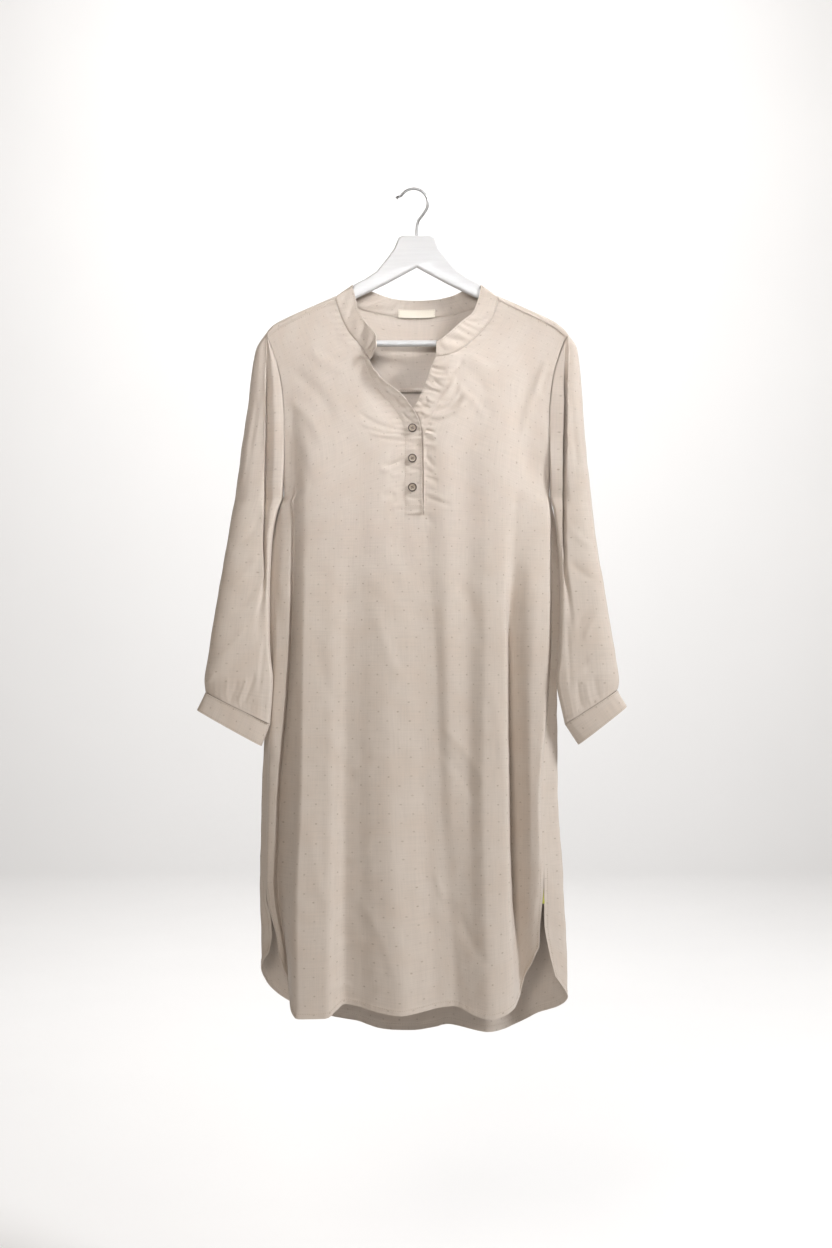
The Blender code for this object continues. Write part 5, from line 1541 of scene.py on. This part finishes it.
class DRESS_OT_buttons(PieceOperator):
    """Three four-hole buttons with a dark raised rim and painted shade in their holes, sewn on with
    crossed thread
    """

    bl_idname = "dress.buttons"
    bl_label = "Buttons"

    def execute(self, context):
        pale = finish("pale cast button resin", resin_material, "#ab9d8c", "#8f8171", 0.38)
        dark = finish("dark cast button resin", resin_material, "#5d4f45", "#40342c", 0.32)
        thread = finish("brown button thread", resin_material, "#6a5a4d", "#54463b", 0.7)
        for number, (station, drop, turn) in enumerate(BUTTONS, 1):
            bm = bmesh.new()
            section = [bm.verts.new((radius, 0, height)) for radius, height in BUTTON_SECTION]
            edges = [bm.edges.new(pair) for pair in zip(section, section[1:])]
            bmesh.ops.spin(bm, geom=section + edges, cent=(0, 0, 0), axis=(0, 0, 1), angle=2 * pi,
                           steps=BUTTON_STEPS, use_merge=True)
            bmesh.ops.remove_doubles(bm, verts=bm.verts, dist=0.01)
            bmesh.ops.recalc_face_normals(bm, faces=bm.faces)
            for face in bm.faces:
                centre = face.calc_center_median()
                at_rim = centre.xy.length > RIM_FROM or centre.z < RIM_BACK
                face.material_index = RIM if at_rim else RESIN
            for degrees in (45, 135, 225, 315):
                x, y = HOLE_OFF * cos(radians(degrees)), HOLE_OFF * sin(radians(degrees))
                # Each hole is a dark disc on the face: painted shade in place of an opening.
                hole = bmesh.ops.create_cone(
                    bm, cap_ends=True, segments=12, radius1=HOLE_RADIUS, radius2=HOLE_RADIUS,
                    depth=0.2, matrix=Matrix.Translation((x, y, HOLE_HEIGHT)))
                paint_faces(hole["verts"], RIM)
            for degrees in (45, 135):
                place = Matrix.Translation((0, 0, THREAD_HEIGHT)) @ Matrix.Rotation(
                    radians(degrees), 4, "Z") @ Matrix.Diagonal(THREAD_SIZE + (1,))
                paint_faces(bmesh.ops.create_cube(bm, size=1, matrix=place)["verts"], THREAD)
            bmesh.ops.rotate(bm, verts=bm.verts, matrix=Matrix.Rotation(radians(turn), 3, "Z"))
            bmesh.ops.rotate(bm, verts=bm.verts, matrix=Matrix.Rotation(radians(90), 3, "X"))
            depth = placket_depth(station, BUTTON_ACROSS + BUTTON_RADIUS) - BUTTON_SEAT
            bmesh.ops.scale(bm, verts=bm.verts, vec=(MM, MM, MM))
            bmesh.ops.translate(bm, verts=bm.verts, vec=Vector(to_world((BUTTON_ACROSS, depth, drop))))
            name = f"button_{number}_detail"
            add_piece(name, mesh_from(bm, name), (pale, dark, thread),
                      [f"button_{number}"])
        return {"FINISHED"}


# Thicknesses of the woven label and the care label, in millimetres, and how much closer the neck
# label's stitches are.
LABEL_WALL, TAB_WALL, LABEL_PITCH = 0.4, 0.6, 0.8


class DRESS_OT_labels(PieceOperator):
    """Bare woven label at the back neck, and the end of the care label in the side slit"""

    bl_idname = "dress.labels"
    bl_label = "Labels"

    def execute(self, context):
        inside = CAD_BAND_WALL + 2 * LABEL_GAP
        places = [neck_seam(at) for at in LABEL_PLACES]
        coarse = [[(across, depth - inside, drop + below) for across, depth, drop in places]
                  for below in (LABEL_TOP, (LABEL_TOP + LABEL_FOOT) / 2, LABEL_FOOT)]
        sheet = refined(coarse, 6, 8)
        heights = -0.15 * np.abs(np.sin(sheet[..., 0] / 9)) - 0.1
        piece, sheet, normals = cloth_piece(
            "neck_label_cloth", sheet, heights, "neck_label", LABEL_WALL * MM, 1, "label")
        stitches = sew(
            "neck_label_stitches", sheet, normals, self.settings.stitch_pitch * LABEL_PITCH,
            [(edge, distance, 0, None, LABEL_WALL)
             for edge, distance in (("left", 1.2), ("right", 1.2), ("top", 1.0))])

        coarse = []
        for station in TAB_STATIONS:
            edge, beside = (front_fold_point(len(FRONT_FOLDS) - k, station) for k in (1, 2))
            x, y = (edge[:2] - beside[:2]) / np.linalg.norm(edge[:2] - beside[:2])
            wall = CAD_WALL + LABEL_GAP
            coarse.append([(edge[0] + x * reach - y * wall, edge[1] + y * reach + x * wall, edge[2])
                           for reach in (TAB_INNER, TAB_OUTER)])
        sheet = refined(coarse, 6, 5)
        piece, _, _ = cloth_piece(
            "care_tab_cloth", sheet, np.zeros(sheet.shape[:2]), "care_tab", TAB_WALL * MM, -1, "tab")
        return {"FINISHED"}


class DRESS_OT_hanger(PieceOperator):
    """Painted wooden hanger with rounded edges and strap notches, its bar, and the wire hook"""

    bl_idname = "dress.hanger"
    bl_label = "Hanger"

    def execute(self, context):
        paint = finish("white painted beech", painted_wood_material)
        curve = bpy.data.curves.new("hanger_outline", "CURVE")
        curve.dimensions, curve.fill_mode = "2D", "BOTH"
        curve.extrude = (HANGER_THICK / 2 - HANGER_EDGE) * MM
        curve.bevel_depth, curve.bevel_resolution = HANGER_EDGE * MM, 4
        curve.offset = -HANGER_EDGE * MM
        spline = curve.splines.new("POLY")
        outline = list(HANGER_HALF) + [(-a, d) for a, d in HANGER_HALF[-2:0:-1]]
        spline.points.add(len(outline) - 1)
        spline.use_cyclic_u = True
        for point, (across, drop) in zip(spline.points, outline):
            point.co = (across * MM, -drop * MM, 0, 1)
        turn = Matrix.Translation((CENTRE_ACROSS * MM, 0, 0)) @ Matrix.Rotation(radians(90), 4, "X")
        wood = self.mesh_of(curve, "hanger_wood", turn)
        add_piece("hanger_wood", wood, [paint], ["hanger_body"])

        bm = bmesh.new()
        middle = Matrix.Translation((CENTRE_ACROSS * MM, 0, -BAR_DROP * MM))
        bmesh.ops.create_cone(
            bm, cap_ends=True, segments=40, radius1=BAR_RADIUS * MM, radius2=BAR_RADIUS * MM,
            depth=2 * BAR_HALF * MM, matrix=middle @ Matrix.Rotation(radians(90), 4, "Y"))
        ends = [e for e in bm.edges if any(len(f.verts) > 4 for f in e.link_faces)]
        bmesh.ops.bevel(bm, geom=ends, offset=BAR_ROUND * MM, segments=3, affect="EDGES", profile=0.5,
                        material=-1)
        bar = mesh_from(bm, "bar_wood", HANGER_SHARP)
        add_piece("bar_wood", bar, [paint], ["trouser_bar"])

        centre = HOOK_WIRE / 2 - CROOK_RADIUS
        points = [(x, -d) for x, d in HOOK_TIP]
        for degrees in CROOK_DEGREES:
            angle = radians(degrees)
            points.append((CROOK_RADIUS * cos(angle), centre + CROOK_RADIUS * sin(angle)))
        points += [(x, -d) for x, d in HOOK_TAIL]
        curve = bpy.data.curves.new("hook_line", "CURVE")
        curve.dimensions, curve.use_fill_caps = "3D", True
        curve.bevel_depth, curve.bevel_resolution = HOOK_WIRE / 2 * MM, 6
        spline = curve.splines.new("POLY")
        spline.points.add(len(points) - 1)
        for point, (x, z) in zip(spline.points, points):
            point.co = (x * MM, 0, z * MM, 1)
        spline.points[0].radius = TIP_SWELL
        wire = self.mesh_of(curve, "hook_wire", Matrix.Identity(4))
        add_piece("hook_wire", wire, [finish("zinc plated steel wire", wire_material)],
                  ["hook"])
        return {"FINISHED"}

    def mesh_of(self, curve, name, matrix):
        """The curve as a mesh in the frame, welded and shaded smooth up to its sharp edges."""
        bent = applied(put(name + "_curve", curve))
        bm = bmesh.new()
        bm.from_mesh(bent)
        bpy.data.meshes.remove(bent)
        bmesh.ops.remove_doubles(bm, verts=bm.verts, dist=0.02 * MM)
        bmesh.ops.transform(bm, matrix=matrix, verts=bm.verts)
        return mesh_from(bm, name, HANGER_SHARP)


# The backdrop, in metres: floor, top, nearest and farthest place, and half width. It is shaded smooth,
# so its corner shows as a soft change of tone.
SWEEP_FLOOR, SWEEP_TOP, SWEEP_NEAR, SWEEP_FAR, SWEEP_HALF = -1.75, 4.5, -5.0, 5.2, 7
# Lights in metres and watts: name, place, target, width, power, colour, and spread in degrees. The key
# light's power is a setting.
LIGHTS = (
    ("key", (2.5, -1.4, 1.45), (0.0, 0.0, -0.5), 0.8, None, "#fafcff", 180),
    ("front fill", (-0.5, -2.0, 0.3), (0.0, 0.0, -0.3), 0.8, 16, "#fffaf4", 180),
    ("neck light", (0.0, -1.7, 0.15), (-0.02, 0.0, -0.28), 0.3, 0.26, "#f4f8ff", 26),
    ("backdrop", (0.0, 1.6, 2.6), (0.0, 5.2, -0.6), 3.0, 176, "#ffffff", 180),
)
ROOM_LIGHT = "#ffe4c8"
# The camera stands level before the middle of the picture, which is 1248 pixels high, each 1.43 mm wide
# at the hanger's plane.
CAMERA_ACROSS, CAMERA_HEIGHT, SENSOR_HEIGHT, VIEW_HEIGHT = 0.0034, -0.6206, 36, 1248 * 1.43


class DRESS_OT_studio(PieceOperator):
    """Pale floor and far backdrop, soft lights, and the camera"""

    bl_idname = "dress.studio"
    bl_label = "Studio"

    def execute(self, context):
        scene = context.scene
        scene.view_settings.view_transform = "Standard"
        bm = bmesh.new()
        section = [bm.verts.new((-SWEEP_HALF, y, z)) for y, z in (
            (SWEEP_NEAR, SWEEP_FLOOR), (SWEEP_FAR, SWEEP_FLOOR), (SWEEP_FAR, SWEEP_TOP))]
        edges = [bm.edges.new(pair) for pair in zip(section, section[1:])]
        wide = bmesh.ops.extrude_edge_only(bm, edges=edges)["geom"]
        bmesh.ops.translate(bm, verts=[v for v in wide if isinstance(v, bmesh.types.BMVert)],
                            vec=(2 * SWEEP_HALF, 0, 0))
        bmesh.ops.recalc_face_normals(bm, faces=bm.faces)
        mesh = mesh_from(bm, "studio_sweep")
        mesh.materials.append(finish("matt studio paper", paper_material))
        put("studio_sweep", mesh)

        for name, place, target, width, power, hex_colour, spread in LIGHTS:
            lamp = bpy.data.lights.new(name, "AREA")
            lamp.shape, lamp.size, lamp.spread = "DISK", width, radians(spread)
            lamp.energy = self.settings.key_power if power is None else power
            lamp.color = linear(hex_colour)[:3]
            holder = put(name, lamp)
            holder.location = place
            way = Vector(target) - Vector(place)
            holder.rotation_euler = way.to_track_quat("-Z", "Y").to_euler()

        world = scene.world or bpy.data.worlds.new("studio")
        scene.world = world
        world.use_nodes = True
        plug(world.node_tree, world.node_tree.nodes["Background"],
             {"Color": linear(ROOM_LIGHT), "Strength": self.settings.world_strength})

        distance = self.settings.camera_distance
        camera = bpy.data.cameras.new("camera")
        camera.sensor_fit, camera.sensor_height = "VERTICAL", SENSOR_HEIGHT
        camera.lens = distance / MM * SENSOR_HEIGHT / VIEW_HEIGHT
        camera.clip_end = 60
        holder = put("camera", camera)
        holder.location = (CAMERA_ACROSS, -distance, CAMERA_HEIGHT)
        holder.rotation_euler = (radians(90), 0, 0)
        scene.camera = holder
        return {"FINISHED"}


class DRESS_PT_panel(Panel):
    """Lists the dress's settings and its pieces"""

    bl_idname = "DRESS_PT_panel"
    bl_label = "Midi dress"
    bl_space_type = "VIEW_3D"
    bl_region_type = "UI"
    bl_category = "Dress"

    def draw(self, context):
        settings = context.scene.dress_settings
        for name in DressSettings.__annotations__:
            self.layout.prop(settings, name)
        for operator in OPERATORS:
            self.layout.operator(operator.bl_idname)


OPERATORS = (
    DRESS_OT_front, DRESS_OT_back, DRESS_OT_yoke, DRESS_OT_collar, DRESS_OT_plackets, DRESS_OT_sleeves,
    DRESS_OT_buttons, DRESS_OT_labels, DRESS_OT_hanger, DRESS_OT_studio,
)
CLASSES = (DressSettings,) + OPERATORS + (DRESS_PT_panel,)


def register():
    for each in CLASSES:
        bpy.utils.register_class(each)
    bpy.types.Scene.dress_settings = PointerProperty(type=DressSettings)


def unregister():
    del bpy.types.Scene.dress_settings
    for each in reversed(CLASSES):
        bpy.utils.unregister_class(each)


def main():
    register()
    for operator in OPERATORS:
        group, name = operator.bl_idname.split(".")
        getattr(getattr(bpy.ops, group), name)()


if __name__ == "__main__":
    main()
